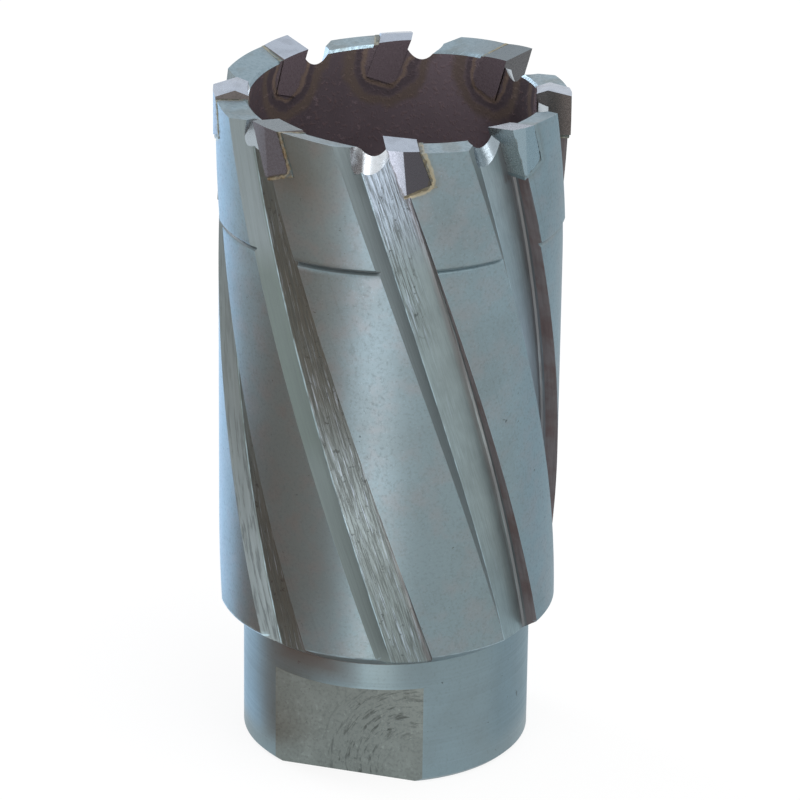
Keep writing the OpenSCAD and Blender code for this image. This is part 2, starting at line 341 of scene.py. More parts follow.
def bearing(p):
    """Angle of a point in degrees."""
    return math.degrees(math.atan2(p.y, p.x))


def spread(low, high, count):
    """Evenly spaced values from low to high."""
    return [low + (high - low) * k / (count - 1) for k in range(count)]


WALL_STEPS = (0.0, 0.12, 0.4, 0.7, 0.93, 1.0)
FLOOR_STEPS = 9
LAND_STEPS = [0.008, 0.03] + spread(0.075, 0.925, 13) + [0.97, 0.992]


def flute_outline(s, surface_r, land_width):
    """One flute and the land behind it at a surface radius: radius, angle and zone of each column."""
    reach = max(surface_r, s.body_r - 0.6)
    foot_r = s.body_r - s.rake_depth
    fillet_a = math.degrees(math.asin(s.flute_fillet / foot_r))
    heel_foot = polar(s.body_r - s.heel_depth, s.heel_angle - s.flute_angle)
    wall_foot = polar(foot_r + s.flute_fillet, s.undercut * (1 - s.flute_fillet / s.rake_depth))
    heel_edge = meet(heel_foot, polar(s.body_r, -s.flute_angle), reach)
    rake_edge = meet(wall_foot, polar(s.body_r, 0), reach)
    fillet = [
        polar(foot_r, s.undercut - fillet_a),
        polar(foot_r + 0.13 * s.flute_fillet, s.undercut - 0.5 * fillet_a),
        polar(foot_r + 0.5 * s.flute_fillet, s.undercut - 0.13 * fillet_a),
    ]
    points = [(heel_foot.lerp(heel_edge, t), HEEL) for t in reversed(WALL_STEPS[1:])]
    floor_shares = [0.0, 0.05] + spread(0.12, 0.9, FLOOR_STEPS - 1)
    points += [(heel_foot.lerp(fillet[0], share), FLOOR) for share in floor_shares]
    points += [(p, FLOOR) for p in fillet]
    points += [(wall_foot.lerp(rake_edge, t), RAKE) for t in WALL_STEPS[:-1]]
    columns = [(p.length, bearing(p), zone) for p, zone in points]
    start = bearing(rake_edge)
    finish = land_width + bearing(heel_edge)
    columns.append((reach, start, LAND))
    columns += [(reach, start + (finish - start) * t, LAND) for t in LAND_STEPS]
    return [(min(r, surface_r), a, zone) for r, a, zone in columns]


def ring_outline(s, surface_r):
    """All columns around the body at a surface radius, before the twist."""
    columns = []
    for i in range(TEETH):
        land_width = s.tooth(i + 1) - s.tooth(i)
        start = s.tooth(i) + s.tip_step
        columns += [(r, start + a, zone) for r, a, zone in flute_outline(s, surface_r, land_width)]
    return columns


def sloped(i):
    """Every second tooth is ground sloping inward, the others to a ridge."""
    return i % 2 == 1


def rim_plane(s, slanting):
    """The steel top of a tooth at direction 0: a point on it and its downward normal."""
    lean = math.radians(s.rim_relief)
    slope = math.radians(s.rim_slope) if slanting else 0.0
    normal = Vector(
        (math.cos(lean) * math.sin(slope), -math.sin(lean), -math.cos(lean) * math.cos(slope))
    )
    turn = Matrix.Rotation(math.radians(TOOTH_MIDDLE), 3, "Z")
    return turn @ Vector((s.bore_r, 0, s.rim_z)), turn @ normal


def rim_height(s, r, a):
    """Height of the sloping steel tooth tops at radius r and direction a."""
    near = s.nearest(a, TOOTH_MIDDLE)
    point, normal = rim_plane(s, sloped(near))
    x, y = polar(r, a - s.tooth(near))
    return point.z - ((x - point.x) * normal.x + (y - point.y) * normal.y) / normal.z


def outside_rows(s):
    """Height and surface radius of the rows up the outside, from the shank to below the rim."""
    rows = [(z, s.shank_r) for z in spread(0.4, s.shank_h - 0.05, 14)]
    cone = spread(s.shank_h, s.shoulder_z, 16)
    edge_r = s.body_r - s.shoulder_bevel
    rows += [(z, s.shank_r + (edge_r - s.shank_r) * (z - s.shank_h) / s.shoulder_h) for z in cone]
    rows += [(s.shoulder_z + 0.18, s.body_r - 0.1), (s.shoulder_z + s.shoulder_bevel, s.body_r)]
    rows += [(z, s.body_r) for z in spread(s.shoulder_z + 0.9, s.groove_z - 0.5, 66)]
    low, deep, high = s.groove_z, s.body_r - s.groove_depth, s.groove_z + s.groove_w
    rows += [(low - 0.05, s.body_r), (low + 0.03, s.body_r - 0.04)]
    rows += [(low + 0.17, deep + 0.06), (low + 0.25, deep)]
    rows += [(high - 0.17, deep + 0.02), (high - 0.1, deep + 0.12), (high + 0.02, s.head_r - 0.1)]
    rows += [(high + 0.1, s.head_r - 0.02), (high + 0.16, s.head_r)]
    rows += [(z, s.head_r) for z in spread(high + 0.5, s.rim_z - 2.2, 18)]
    return rows


def thread_radius(s, z, a):
    """Radius of the threaded bore at height z and direction a."""
    share = (z / s.thread_pitch - a / 360.0) % 1.0
    cut = clamp(1.6 - abs(share - 0.5) * 4.4)
    fade = clamp((s.thread_depth - 1.0 - z) / 1.5)
    return s.thread_d / 2 + s.thread_cut * cut * fade


def body_rings(s):
    """The rings of the body as points (radius, direction, height) and the zone of each face."""
    plain = ring_outline(s, s.body_r)
    zones = [zone for r, a, zone in plain]
    even = []
    for r, a, zone in plain:
        even.append(a if not even else max(a, even[-1] + 0.02))
    rings = []
    kinds = []

    def add(points, kind):
        rings.append(points)
        kinds.append(kind)

    def add_round(r, z, kind):
        add([(r, a, z) for a in even], kind)

    base_r = s.thread_d / 2 + s.thread_cut
    add_round(base_r, 0.0, SHANK)
    add_round(s.shank_r - 0.4, 0.0, SHANK)
    for z, r in outside_rows(s):
        if r <= s.shank_r + 0.001:
            add_round(s.shank_r, z, SHANK)
        else:
            add([(cr, a, z) for cr, a, zone in ring_outline(s, r)], None)
    kinds[-1] = None
    below = outside_rows(s)[-1][0]
    top = []
    for r, a, zone in ring_outline(s, s.head_r):
        z = s.rim_z
        for _ in range(3):
            z = rim_height(s, r, a + s.turn(z))
        top.append((r, a, z))
    for share in (0.25, 0.5, 0.75):
        add([(r, a, below + (z - below) * share) for r, a, z in top], None)
    add(top, RIM)
    inner_r = s.bore_r + s.rim_bevel
    inner_z = [rim_height(s, s.bore_r, a + s.turn(s.rim_z)) for a in even]
    for share in (0.4, 0.8):
        add(
            [
                (r + (inner_r - r) * share, a + (b - a) * share, z + (iz - z) * share)
                for (r, a, z), b, iz in zip(top, even, inner_z)
            ],
            RIM,
        )
    add([(inner_r, a, iz) for a, iz in zip(even, inner_z)], RIM)
    add([(s.bore_r, a, iz - s.rim_bevel) for a, iz in zip(even, inner_z)], BORE)
    dense = s.rim_z - 12.0
    for k in range(1, 27):
        add(
            [
                (s.bore_r, a, iz - s.rim_bevel + (dense - iz + s.rim_bevel) * k / 26)
                for a, iz in zip(even, inner_z)
            ],
            BORE,
        )
    for z in spread(dense - 2.0, s.bore_floor_z + 1.0, 18):
        add_round(s.bore_r, z, BORE)
    for r in (s.bore_r - 0.25, s.bore_r - 0.65, s.bore_r - 1.0):
        fall = math.sqrt(max(0.0, 1.0 - (1.0 - (s.bore_r - r)) ** 2))
        add_round(r, s.bore_floor_z + 1.0 - fall, BORE)
    for r in spread(s.bore_r - 2.0, s.pilot_d / 2 + 0.2, 6):
        add_round(r, s.bore_floor_z, BORE)
    add_round(s.pilot_d / 2, s.bore_floor_z - 0.2, THREAD)
    for z in spread(s.bore_floor_z - 1.5, s.thread_depth, 5):
        add_round(s.pilot_d / 2, z, THREAD)
    add_round(s.thread_d / 2 - 1.0, s.thread_depth, THREAD)
    for z in spread(s.thread_depth, s.thread_cut, 68):
        add([(thread_radius(s, z, a), a, z) for a in even], THREAD)
    for z in spread(s.thread_cut - 0.15, 0.15, 4):
        add([(max(thread_radius(s, z, a), base_r - z), a, z) for a in even], THREAD)
    return rings, kinds, zones


def store(mesh, name, kind, domain, values):
    """Keeps one value for each point or face under a name."""
    layer = mesh.attributes.new(name, kind, domain)
    layer.data.foreach_set("value", values)


def new_object(name, mesh):
    """An object of its own mesh, linked to the scene."""
    thing = bpy.data.objects.new(name, mesh)
    bpy.context.scene.collection.objects.link(thing)
    return thing


def mesh_of(name, points, faces):
    """A mesh from points in millimetres and faces."""
    mesh = bpy.data.meshes.new(name)
    mesh.from_pydata([(x * MM, y * MM, z * MM) for x, y, z in points], [], faces)
    mesh.update()
    return mesh


def body_blank(s):
    """The fluted body before its twist, with the zone of each face."""
    rings, kinds, zones = body_rings(s)
    count = len(zones)
    points = [(*polar(r, a), z) for ring in rings for r, a, z in ring]
    faces = []
    marks = []
    for k in range(len(rings)):
        after = (k + 1) % len(rings)
        for j in range(count):
            side = (j + 1) % count
            faces.append((k * count + j, k * count + side, after * count + side, after * count + j))
            marks.append(zones[j] if kinds[k] is None else kinds[k])
    mesh = mesh_of("cutter_body_shell", points, faces)
    store(mesh, "zone", "INT", "FACE", marks)
    return mesh


def socket(tree, name, kind, side="INPUT", value=None):
    """A named socket of a node tree."""
    item = tree.interface.new_socket(name=name, in_out=side, socket_type=kind)
    if value is not None:
        item.default_value = value
    return item


def node(tree, kind, **settings):
    """A new node with its settings."""
    made = tree.nodes.new(kind)
    for name, value in settings.items():
        setattr(made, name, value)
    return made


def math_node(tree, operation, first, second=None, third=None):
    """A math node whose inputs are sockets or numbers."""
    made = node(tree, "ShaderNodeMath", operation=operation)
    for k, value in enumerate((first, second, third)):
        if value is None:
            continue
        if isinstance(value, (int, float)):
            made.inputs[k].default_value = value
        else:
            tree.links.new(value, made.inputs[k])
    return made.outputs[0]


def by_tooth(tree, index, values):
    """A value picked from a list by the index of the tooth."""
    made = node(tree, "GeometryNodeIndexSwitch", data_type="FLOAT")
    while len(made.index_switch_items) < len(values):
        made.index_switch_items.new()
    for k, value in enumerate(values):
        made.inputs[k + 1].default_value = value
    tree.links.new(index, made.inputs[0])
    return made.outputs[0]


def tooth_ring_tree():
    """Geometry nodes that repeat one tooth's piece round the rim at the uneven spacing."""
    tree = bpy.data.node_groups.new("tooth ring", "GeometryNodeTree")
    socket(tree, "Tooth piece", "NodeSocketGeometry")
    socket(tree, "Second piece", "NodeSocketObject")
    socket(tree, "Alternate", "NodeSocketBool", value=False)
    socket(tree, "First tooth", "NodeSocketFloat", value=0.0)
    socket(tree, "Uneven spacing", "NodeSocketFloat", value=1.0)
    socket(tree, "Finish", "NodeSocketMaterial")
    socket(tree, "Ring of teeth", "NodeSocketGeometry", "OUTPUT")
    link = tree.links.new
    given = node(tree, "NodeGroupInput")
    result = node(tree, "NodeGroupOutput")
    points = node(tree, "GeometryNodePoints")
    points.inputs["Count"].default_value = TEETH
    index = node(tree, "GeometryNodeInputIndex")
    shift = by_tooth(tree, index.outputs[0], [math.radians(a) for a in TOOTH_SHIFT])
    first = given.outputs["First tooth"]
    even = math_node(tree, "MULTIPLY_ADD", index.outputs[0], 2 * math.pi / TEETH, first)
    turn = math_node(tree, "MULTIPLY_ADD", shift, given.outputs["Uneven spacing"], even)
    rotation = node(tree, "ShaderNodeCombineXYZ")
    link(turn, rotation.inputs["Z"])
    other = node(tree, "GeometryNodeObjectInfo")
    link(given.outputs["Second piece"], other.inputs[0])
    second = math_node(tree, "MODULO", index.outputs[0], 2.0)
    odd = math_node(tree, "MULTIPLY", second, given.outputs["Alternate"])
    kept = node(tree, "GeometryNodeStoreNamedAttribute", data_type="FLOAT", domain="POINT")
    kept.inputs["Name"].default_value = "bright"
    link(points.outputs[0], kept.inputs["Geometry"])
    link(by_tooth(tree, index.outputs[0], TOOTH_BRIGHT), kept.inputs["Value"])
    both = node(tree, "GeometryNodeJoinGeometry")
    for piece, chosen in (
        (given.outputs["Tooth piece"], math_node(tree, "SUBTRACT", 1.0, odd)),
        (other.outputs["Geometry"], odd),
    ):
        copies = node(tree, "GeometryNodeInstanceOnPoints")
        link(kept.outputs[0], copies.inputs["Points"])
        link(chosen, copies.inputs["Selection"])
        link(piece, copies.inputs["Instance"])
        link(rotation.outputs[0], copies.inputs["Rotation"])
        link(copies.outputs[0], both.inputs[0])
    real = node(tree, "GeometryNodeRealizeInstances")
    link(both.outputs[0], real.inputs[0])
    finish = node(tree, "GeometryNodeSetMaterial")
    link(real.outputs[0], finish.inputs["Geometry"])
    link(given.outputs["Finish"], finish.inputs["Material"])
    link(finish.outputs[0], result.inputs[0])
    return tree


def flute_twist_tree(zone_names):
    """Geometry nodes that wind the straight flutes into their helix and give each zone its finish."""
    tree = bpy.data.node_groups.new("flute twist", "GeometryNodeTree")
    socket(tree, "Straight body", "NodeSocketGeometry")
    socket(tree, "Lead", "NodeSocketFloat", value=0.31)
    socket(tree, "Edge height", "NodeSocketFloat", value=0.0686)
    socket(tree, "Flute start", "NodeSocketFloat", value=0.0133)
    for name in zone_names:
        socket(tree, name, "NodeSocketMaterial")
    socket(tree, "Wound body", "NodeSocketGeometry", "OUTPUT")
    link = tree.links.new
    given = node(tree, "NodeGroupInput")
    result = node(tree, "NodeGroupOutput")
    place = node(tree, "GeometryNodeInputPosition")
    parts = node(tree, "ShaderNodeSeparateXYZ")
    link(place.outputs[0], parts.inputs[0])
    height = math_node(tree, "MAXIMUM", parts.outputs["Z"], given.outputs["Flute start"])
    below = math_node(tree, "SUBTRACT", given.outputs["Edge height"], height)
    turns = math_node(tree, "DIVIDE", below, given.outputs["Lead"])
    turn = math_node(tree, "MULTIPLY", turns, 2 * math.pi)
    wound = node(tree, "ShaderNodeVectorRotate", rotation_type="Z_AXIS")
    link(place.outputs[0], wound.inputs["Vector"])
    link(turn, wound.inputs["Angle"])
    moved = node(tree, "GeometryNodeSetPosition")
    link(given.outputs["Straight body"], moved.inputs["Geometry"])
    link(wound.outputs[0], moved.inputs["Position"])
    real = node(tree, "GeometryNodeRealizeInstances")
    link(moved.outputs[0], real.inputs[0])
    zone = node(tree, "GeometryNodeInputNamedAttribute", data_type="INT")
    zone.inputs["Name"].default_value = "zone"
    last = real.outputs[0]
    for k, name in enumerate(zone_names):
        chosen = node(tree, "FunctionNodeCompare", data_type="INT", operation="EQUAL")
        link(zone.outputs["Attribute"], chosen.inputs[2])
        chosen.inputs[3].default_value = k
        finish = node(tree, "GeometryNodeSetMaterial")
        link(last, finish.inputs["Geometry"])
        link(chosen.outputs[0], finish.inputs["Selection"])
        link(given.outputs[name], finish.inputs["Material"])
        last = finish.outputs[0]
    link(last, result.inputs[0])
    return tree


def through_tree(thing, tree, values):
    """Runs an object through a geometry tree and leaves the result as its plain mesh."""
    modifier = thing.modifiers.new(tree.name, "NODES")
    modifier.node_group = tree
    for item in tree.interface.items_tree:
        if item.in_out == "INPUT" and item.name in values:
            modifier[item.identifier] = values[item.name]
    bake(thing)


def bake(thing):
    """Turns the evaluated object into its own plain mesh and removes its modifiers."""
    thing.update_tag()
    bpy.context.view_layer.update()
    ready = thing.evaluated_get(bpy.context.evaluated_depsgraph_get())
    mesh = bpy.data.meshes.new_from_object(ready)
    thing.modifiers.clear()
    old = thing.data
    thing.data = mesh
    mesh.name = thing.name
    bpy.data.meshes.remove(old)


def ring_of_teeth(s, thing, finish, second=None):
    """Repeats a piece round the rim, in turn with a second piece where one is given."""
    values = {
        "First tooth": math.radians(s.first_tooth),
        "Uneven spacing": s.uneven,
        "Finish": finish,
    }
    if second is not None:
        values["Second piece"] = second
        values["Alternate"] = True
    through_tree(thing, ring_tree(), values)
    if second is not None:
        drop(second)


def drop(thing):
    """Deletes an object and its mesh."""
    mesh = thing.data
    bpy.data.objects.remove(thing)
    bpy.data.meshes.remove(mesh)


def cut_away(thing, cutter):
    """Cuts one object out of another and deletes the cutter."""
    modifier = thing.modifiers.new("cut", "BOOLEAN")
    modifier.operation = "DIFFERENCE"
    modifier.solver = "EXACT"
    modifier.material_mode = "TRANSFER"
    modifier.object = cutter
    bake(thing)
    drop(cutter)


def gullet_cutter(s):
    """The round-nosed scoop ahead of a tip at direction 0."""
    turn = Matrix.Rotation(math.radians(-s.gullet_turn), 4, "Z")
    slope = math.radians(s.gullet_slope)
    place = Matrix.Translation(
        (s.bore_r + s.gullet_r * math.sin(slope), 0, s.gullet_z + s.gullet_r * math.cos(slope))
    )
    lean = Matrix.Rotation(math.radians(90) + slope, 4, "Y")
    made = bmesh.new()
    bmesh.ops.create_cone(
        made, cap_ends=True, segments=112, radius1=s.gullet_r, radius2=s.gullet_r, depth=7 * s.gullet_r,
        matrix=turn @ place @ lean @ Matrix.Translation((0, 0, -0.5 * s.gullet_r)),
    )
    return finish_piece(made, "gullet_cut")


def finish_piece(made, name):
    """A mesh in metres from a bmesh in millimetres, with merged doubles and outward normals."""
    bmesh.ops.remove_doubles(made, verts=made.verts, dist=0.0005)
    bmesh.ops.recalc_face_normals(made, faces=made.faces)
    bmesh.ops.scale(made, vec=(MM, MM, MM), verts=made.verts)
    mesh = bpy.data.meshes.new(name)
    made.to_mesh(mesh)
    made.free()
    return mesh


def block(made, place, low, high):
    """Adds a block between two corners of a placed frame to a bmesh."""
    size = Matrix.Diagonal((*(high - low), 1.0))
    bmesh.ops.create_cube(made, size=1.0, matrix=place @ Matrix.Translation((low + high) / 2) @ size)


def pocket_cutter(s):
    """The pocket through the wall that a tip is brazed into."""
    made = bmesh.new()
    low = Vector((s.core_r - s.cut_r - 2.0, 0, -s.tip_h - s.braze_t))
    block(made, s.tip_matrix(), low, Vector((2.0, s.tip_t + s.braze_t, 3.0)))
    return finish_piece(made, "pocket_cut")


def flat_cutters(s):
    """The two blocks that cut the wrench flats."""
    made = bmesh.new()
    for side in (0.0, 180.0):
        turn = Matrix.Rotation(math.radians(s.flat_turn + side), 4, "Z")
        low = Vector((s.flat_across / 2, -s.shank_r - 1, -1))
        block(made, turn, low, Vector((s.shank_r + 1, s.shank_r + 1, s.flat_h)))
    return finish_piece(made, "flat_cut")


def split_by(made, point, normal, drop_inner):
    """Cuts all of a bmesh by a plane and gives what lies in the cut."""
    everything = made.verts[:] + made.edges[:] + made.faces[:]
    return bmesh.ops.bisect_plane(
        made, geom=everything, dist=1e-5, plane_co=point, plane_no=normal, clear_inner=drop_inner
    )


def keep_side(made, point, normal):
    """Cuts a bmesh by a plane, keeps the side that the normal points to and closes the cut."""
    cut = split_by(made, point, normal, True)
    edges = [g for g in cut["geom_cut"] if isinstance(g, bmesh.types.BMEdge)]
    bmesh.ops.edgeloop_fill(made, edges=edges)


def wall_sector(s, made, inner_r, outer_r, steps=72, rows=24):
    """A sector of the ring wall around direction 0, closed on all sides."""
    columns = []
    heights = spread(s.ridge_z - SECTOR_BELOW, s.ridge_z + SECTOR_ABOVE, rows)
    for a in spread(SECTOR_START, SECTOR_END, steps):
        p, q = polar(inner_r, a), polar(outer_r, a)
        loop = [(*q, z) for z in heights] + [(*p, z) for z in reversed(heights)]
        columns.append([made.verts.new(v) for v in loop])
    count = 2 * rows
    for one, two in zip(columns, columns[1:]):
        for k in range(count):
            made.faces.new((one[k], two[k], two[(k + 1) % count], one[(k + 1) % count]))
    made.faces.new(columns[0])
    made.faces.new(columns[-1][::-1])
    bmesh.ops.recalc_face_normals(made, faces=made.faces)


def outward(point):
    """Level direction from the axis to a point."""
    return Vector((point.x, point.y, 0)).normalized()


def push_out(v, by):
    """Moves a point away from the axis."""
    r = math.hypot(v.co.x, v.co.y)
    v.co.x *= (r + by) / r
    v.co.y *= (r + by) / r


def tip_planes(s, slanting):
    """The planes that bound a tip, each with a point and an inward normal."""
    frame_of_tip = s.tip_matrix()
    turn = frame_of_tip.to_3x3()
    corner = frame_of_tip.translation
    lean = math.radians(s.tip_relief)
    along = Vector((0, -math.cos(lean), math.sin(lean)))
    rise = Vector((0, math.sin(lean), math.cos(lean)))
    if slanting:
        ridge = Vector((s.cut_r, 0, s.ridge_z))
        ends = [ridge + Vector((s.core_r - s.cut_r, 0, 0)) - rise * s.slope_in]
    else:
        ridge = Vector((s.ridge_r, 0, s.ridge_z))
        ends = [
            ridge + Vector((s.core_r - s.ridge_r, 0, 0)) - rise * s.fall_in,
            ridge + Vector((s.cut_r - s.ridge_r, 0, 0)) - rise * s.fall_out,
        ]
    roofs = [along.cross(ridge - end).normalized() for end in ends]
    roofs = [(ridge, n if n.z < 0 else -n) for n in roofs]
    sides = [
        (corner, turn @ Vector((0, 1, 0))),
        (corner + turn @ Vector((0, s.tip_t, 0)), turn @ Vector((0, -1, 0))),
        (corner + turn @ Vector((0, 0, -s.tip_h)), turn @ Vector((0, 0, 1))),
    ]
    return sides, roofs


def tip_mesh(s, slanting):
    """One hard-metal tip at direction 0, with its ground facets and its inner side marked."""
    made = bmesh.new()
    wall_sector(s, made, s.core_r, s.cut_r)
    sides, roofs = tip_planes(s, slanting)
    for point, normal in sides + roofs:
        keep_side(made, point, normal)
    margin = Vector((s.cut_r, MARGIN_W, s.edge_z))
    split = Vector((1, 0, 0)).cross(Vector(MARGIN_LINE)).normalized()
    split_by(made, margin, split, False)
    for v in made.verts:
        behind = (v.co - margin).dot(split)
        if behind > 0 and math.hypot(v.co.x, v.co.y) > s.cut_r - 0.01:
            push_out(v, -MARGIN_FALL * behind)
    bmesh.ops.remove_doubles(made, verts=made.verts, dist=0.0005)
    bmesh.ops.recalc_face_normals(made, faces=made.faces)
    least = math.radians(EDGE_ANGLE)
    sharp = [e for e in made.edges if len(e.link_faces) == 2 and e.calc_face_angle() > least]
    bmesh.ops.bevel(
        made, geom=sharp, offset=EDGE_ROUND, offset_type="OFFSET", segments=2, profile=0.6, affect="EDGES",
        clamp_overlap=True,
    )
    ground = made.faces.layers.float.new("ground")
    inside = made.faces.layers.float.new("inside")
    for face in made.faces:
        middle = face.calc_center_median()
        facing = face.normal.dot(outward(middle))
        if max(-face.normal.dot(n) for point, n in roofs) > 0.9:
            face[ground] = 1.0
        elif facing > 0.85:
            face[ground] = 0.85 if (middle - margin).dot(split) < 0 else 0.12
        elif facing < -0.85:
            face[inside] = 1.0
        face.smooth = False
    return finish_piece(made, "carbide_tip")


def ripple(x, y, z):
    """A smooth uneven value from -1 to 1."""
    waves = math.sin(1.9 * x + 2.3 * z) + math.sin(3.7 * y - 2.9 * z + 1.1)
    return (waves + math.sin(5.3 * z + 2.1 * x - 0.7)) / 3


def braze_mesh(s, slanting):
    """One braze bead at direction 0: the strip behind a tip and the strip below it, a little proud."""
    frame_of_tip = s.tip_matrix()
    turn = frame_of_tip.to_3x3()
    corner = frame_of_tip.translation
    across = turn @ Vector((0, 1, 0))
    upward = turn @ Vector((0, 0, 1))
    strips = []
    for behind in (True, False):
        made = bmesh.new()
        wall_sector(s, made, s.bore_r - BEAD_IN, s.head_r + BEAD_OUT, 120, 48)
        if behind:
            keep_side(made, corner + across * s.tip_t, across)
            keep_side(made, corner + across * (s.tip_t + s.braze_t), -across)
            keep_side(made, corner - upward * (s.tip_h + s.braze_t), upward)
            keep_side(made, *rim_plane(s, slanting))
        else:
            keep_side(made, corner, across)
            keep_side(made, corner + across * s.tip_t, -across)
            keep_side(made, corner - upward * s.tip_h, -upward)
            keep_side(made, corner - upward * (s.tip_h + s.braze_t), upward)
        strips.append(made)
    joined = bmesh.new()
    for made in strips:
        bmesh.ops.recalc_face_normals(made, faces=made.faces)
        bmesh.ops.triangulate(made, faces=[f for f in made.faces if len(f.verts) > 4])
        long_edges = [e for e in made.edges if e.calc_length() > BEAD_EDGE]
        bmesh.ops.subdivide_edges(made, edges=long_edges, cuts=6, use_grid_fill=True)
        for v in made.verts:
            if math.hypot(v.co.x, v.co.y) > s.head_r:
                push_out(v, BEAD_RIPPLE + BEAD_RIPPLE * ripple(v.co.x * 2.0, v.co.y * 2.0, v.co.z * 2.0))
        inside = made.faces.layers.float.new("inside")
        made.normal_update()
        for face in made.faces:
            face[inside] = float(face.normal.dot(outward(face.calc_center_median())) < -0.7)
        part = bpy.data.meshes.new("strip")
        made.to_mesh(part)
        joined.from_mesh(part)
        made.free()
        bpy.data.meshes.remove(part)
    return finish_piece(joined, "braze_bead")


def away_from(s, i, a, z):
    """Angle from the rake edge of flute i to direction a at height z, in degrees."""
    return signed(a - s.tooth(i) - s.tip_step - s.turn(z))


def edge_wear_and_highlight(s, r, a, z):
    """How bright a point is near a worn edge of a flute with its painted highlight, and along the shoulder's
    painted highlight: 1 is worn and lit, 2 is a full painted highlight.
    """
    foot = s.heel_angle - s.flute_angle
    lines = ((0.0, s.body_r, 0.75), (-s.flute_angle, s.body_r, 0.68), (foot, s.body_r - s.heel_depth, 1.0))
    best = 0.0
    for i in range(TEETH):
        for edge, edge_r, weight in lines:
            side = math.radians(away_from(s, i, a - edge, z)) * r
            best = max(best, weight * (1.0 - math.hypot(side, min(r, s.body_r) - edge_r) / FLUTE_WEAR_AND_HIGHLIGHT))
    # Painted highlight along the shoulder's edge, at full strength on the left.
    if r > s.body_r - 0.5:
        worn = 1.0 - abs(z - s.shoulder_z - 0.2) / SHOULDER_HIGHLIGHT
        best = max(best, (2.0 if a < LIT_SHOULDER else 1.0) * worn)
    return best


def flute_marks(s, a, z):
    """How streaky the flute at direction a is at height z, how tarnished above 0 and how strong its painted
    highlight below 0, and how stained and darkened by painted shade near its rake wall.
    """
    near = min(range(TEETH), key=lambda i: abs(away_from(s, i, a + 0.5 * s.flute_angle, z)))
    marks = []
    for low, high, middle in (FLUTE_STREAKS[near], FLUTE_TARNISH_AND_HIGHLIGHT[near]):
        share = clamp(0.5 + (z - middle) / MARK_FADE)
        marks.append(low + (high - low) * share * share * (3.0 - 2.0 * share))
    across = 1.0 + away_from(s, near, a, z) / (s.flute_angle - s.heel_angle)
    # Beside a tip the painted shade reaches further across the floor.
    shaded = across + TIP_SHADE_REACH if z > s.edge_z - s.tip_h - 0.8 else across
    # Where a flute has a strong painted highlight, its streaks fade out near the rake wall below a height.
    if FLUTE_TARNISH_AND_HIGHLIGHT[near][1] < HIGHLIGHTED:
        below = clamp((HIGHLIGHT_TOP - z) / HIGHLIGHT_FADE)
        marks[0] *= 1.0 - below * clamp((across - HIGHLIGHT_START) / HIGHLIGHT_WIDTH)
    if across < -0.01:
        marks[0] = min(1.0, marks[0] * HEEL_STREAKS[near])
        marks[1] *= HEEL_TARNISH[near] * clamp((HEEL_CLEAN - z) / HEEL_FADE)
    return marks + [clamp((shaded - FLUTE_STAIN_AND_SHADE[near]) / STAIN_AND_SHADE_FADE)]


def shade_band(a, start, start_fade, end, end_fade):
    """How deep direction a lies in a band of painted shade that reaches left from its start to its end."""
    return min((start - a) / start_fade, (a - end) / end_fade)


def painted_shade_mark(s, r, a, z):
    """How strong the painted shade in the groove and the painted shadow below the left front of the body are,
    from 0 to 1.
    """
    if s.body_r - 0.5 < r < s.body_r - 0.02 and s.groove_z - 0.02 < z < s.groove_z + s.groove_w + 0.05:
        start, fade, most = GROOVE_SHADE
        return clamp((start - a) / fade, high=most)
    if r > s.body_r - 0.2 or r < s.shank_r - 0.1 or z > s.shoulder_z - 0.05:
        return 0.0
    if z > s.shank_h - 0.05:
        return clamp(shade_band(a, *CONE_SHADE))
    return clamp(min(shade_band(a, *SHANK_SHADE), (z - s.shank_h + 2.6) / 2.0))


def gullet_shade_mark(s, r, a, z):
    """How much painted shade dims the nearest chip gullet, from 0 to 1."""
    return GULLET_SHADE[s.nearest(a, -s.gullet_turn)] if z >= s.gullet_z - 8.0 else 0.0


def scorched(i):
    """Whether the brazing has left tip i dull and its surroundings scorched."""
    return TOOTH_BRIGHT[i] < -0.5


def in_tip(s, i, r, a, z):
    """Place of a point in the tilted frame of tip i: across from its front face, and up from its corner."""
    tilt = math.radians(s.tilt)
    u = math.radians(signed(a - s.tooth(i))) * r
    u += math.sin(math.radians(s.tip_rake)) * (s.cut_r - r)
    v = z - s.edge_z
    return u * math.cos(tilt) + v * math.sin(tilt), v * math.cos(tilt) - u * math.sin(tilt)


def scorch_mark(s, r, a, z):
    """How strongly the brazing has stained a point of the outside, from 0 to 1."""
    if z < s.rim_z - 12.0 or r < s.bore_r + SKIN:
        return 0.0
    best = 0.0
    for i in range(TEETH):
        y, w = in_tip(s, i, r, a, z)
        off = math.hypot(max(0.0, y - s.tip_t - s.braze_t, -y), max(0.0, -s.tip_h - s.braze_t - w))
        off += 0.12 * ripple(a * 0.6, z, i * 2.3)
        reach = 0.65 - max(off, 0.0) / 8.0 if scorched(i) else 0.0
        best = max(best, 0.7 - max(off, 0.0) / 0.8, reach)
    return best


def seam_mark(s, r, a, z):
    """Nearness to a tip on the outside: a half on its outline, a third less for each millimetre off."""
    if z < s.rim_z - 9.0 or r < s.bore_r + 2 * SKIN:
        return 0.0
    best = FAR_OFF
    for i in range(TEETH):
        y, w = in_tip(s, i, r, a, z)
        across, down = y - s.tip_t + SEAM_ROUND, SEAM_ROUND - s.tip_h - w
        off = math.hypot(max(across, 0.0), max(down, 0.0)) + min(max(across, down), 0.0) - SEAM_ROUND
        off = max(off, -y) + 0.1 * ripple(a * 1.3, z * 1.6, i * 2.1)
        if scorched(i) and off > 0.0:
            off *= 1.7
        if off < 0.2 or TOOTH_BRIGHT[i] < 0.9:
            best = min(best, off)
    return max(0.0, 0.5 - best / 3.0)


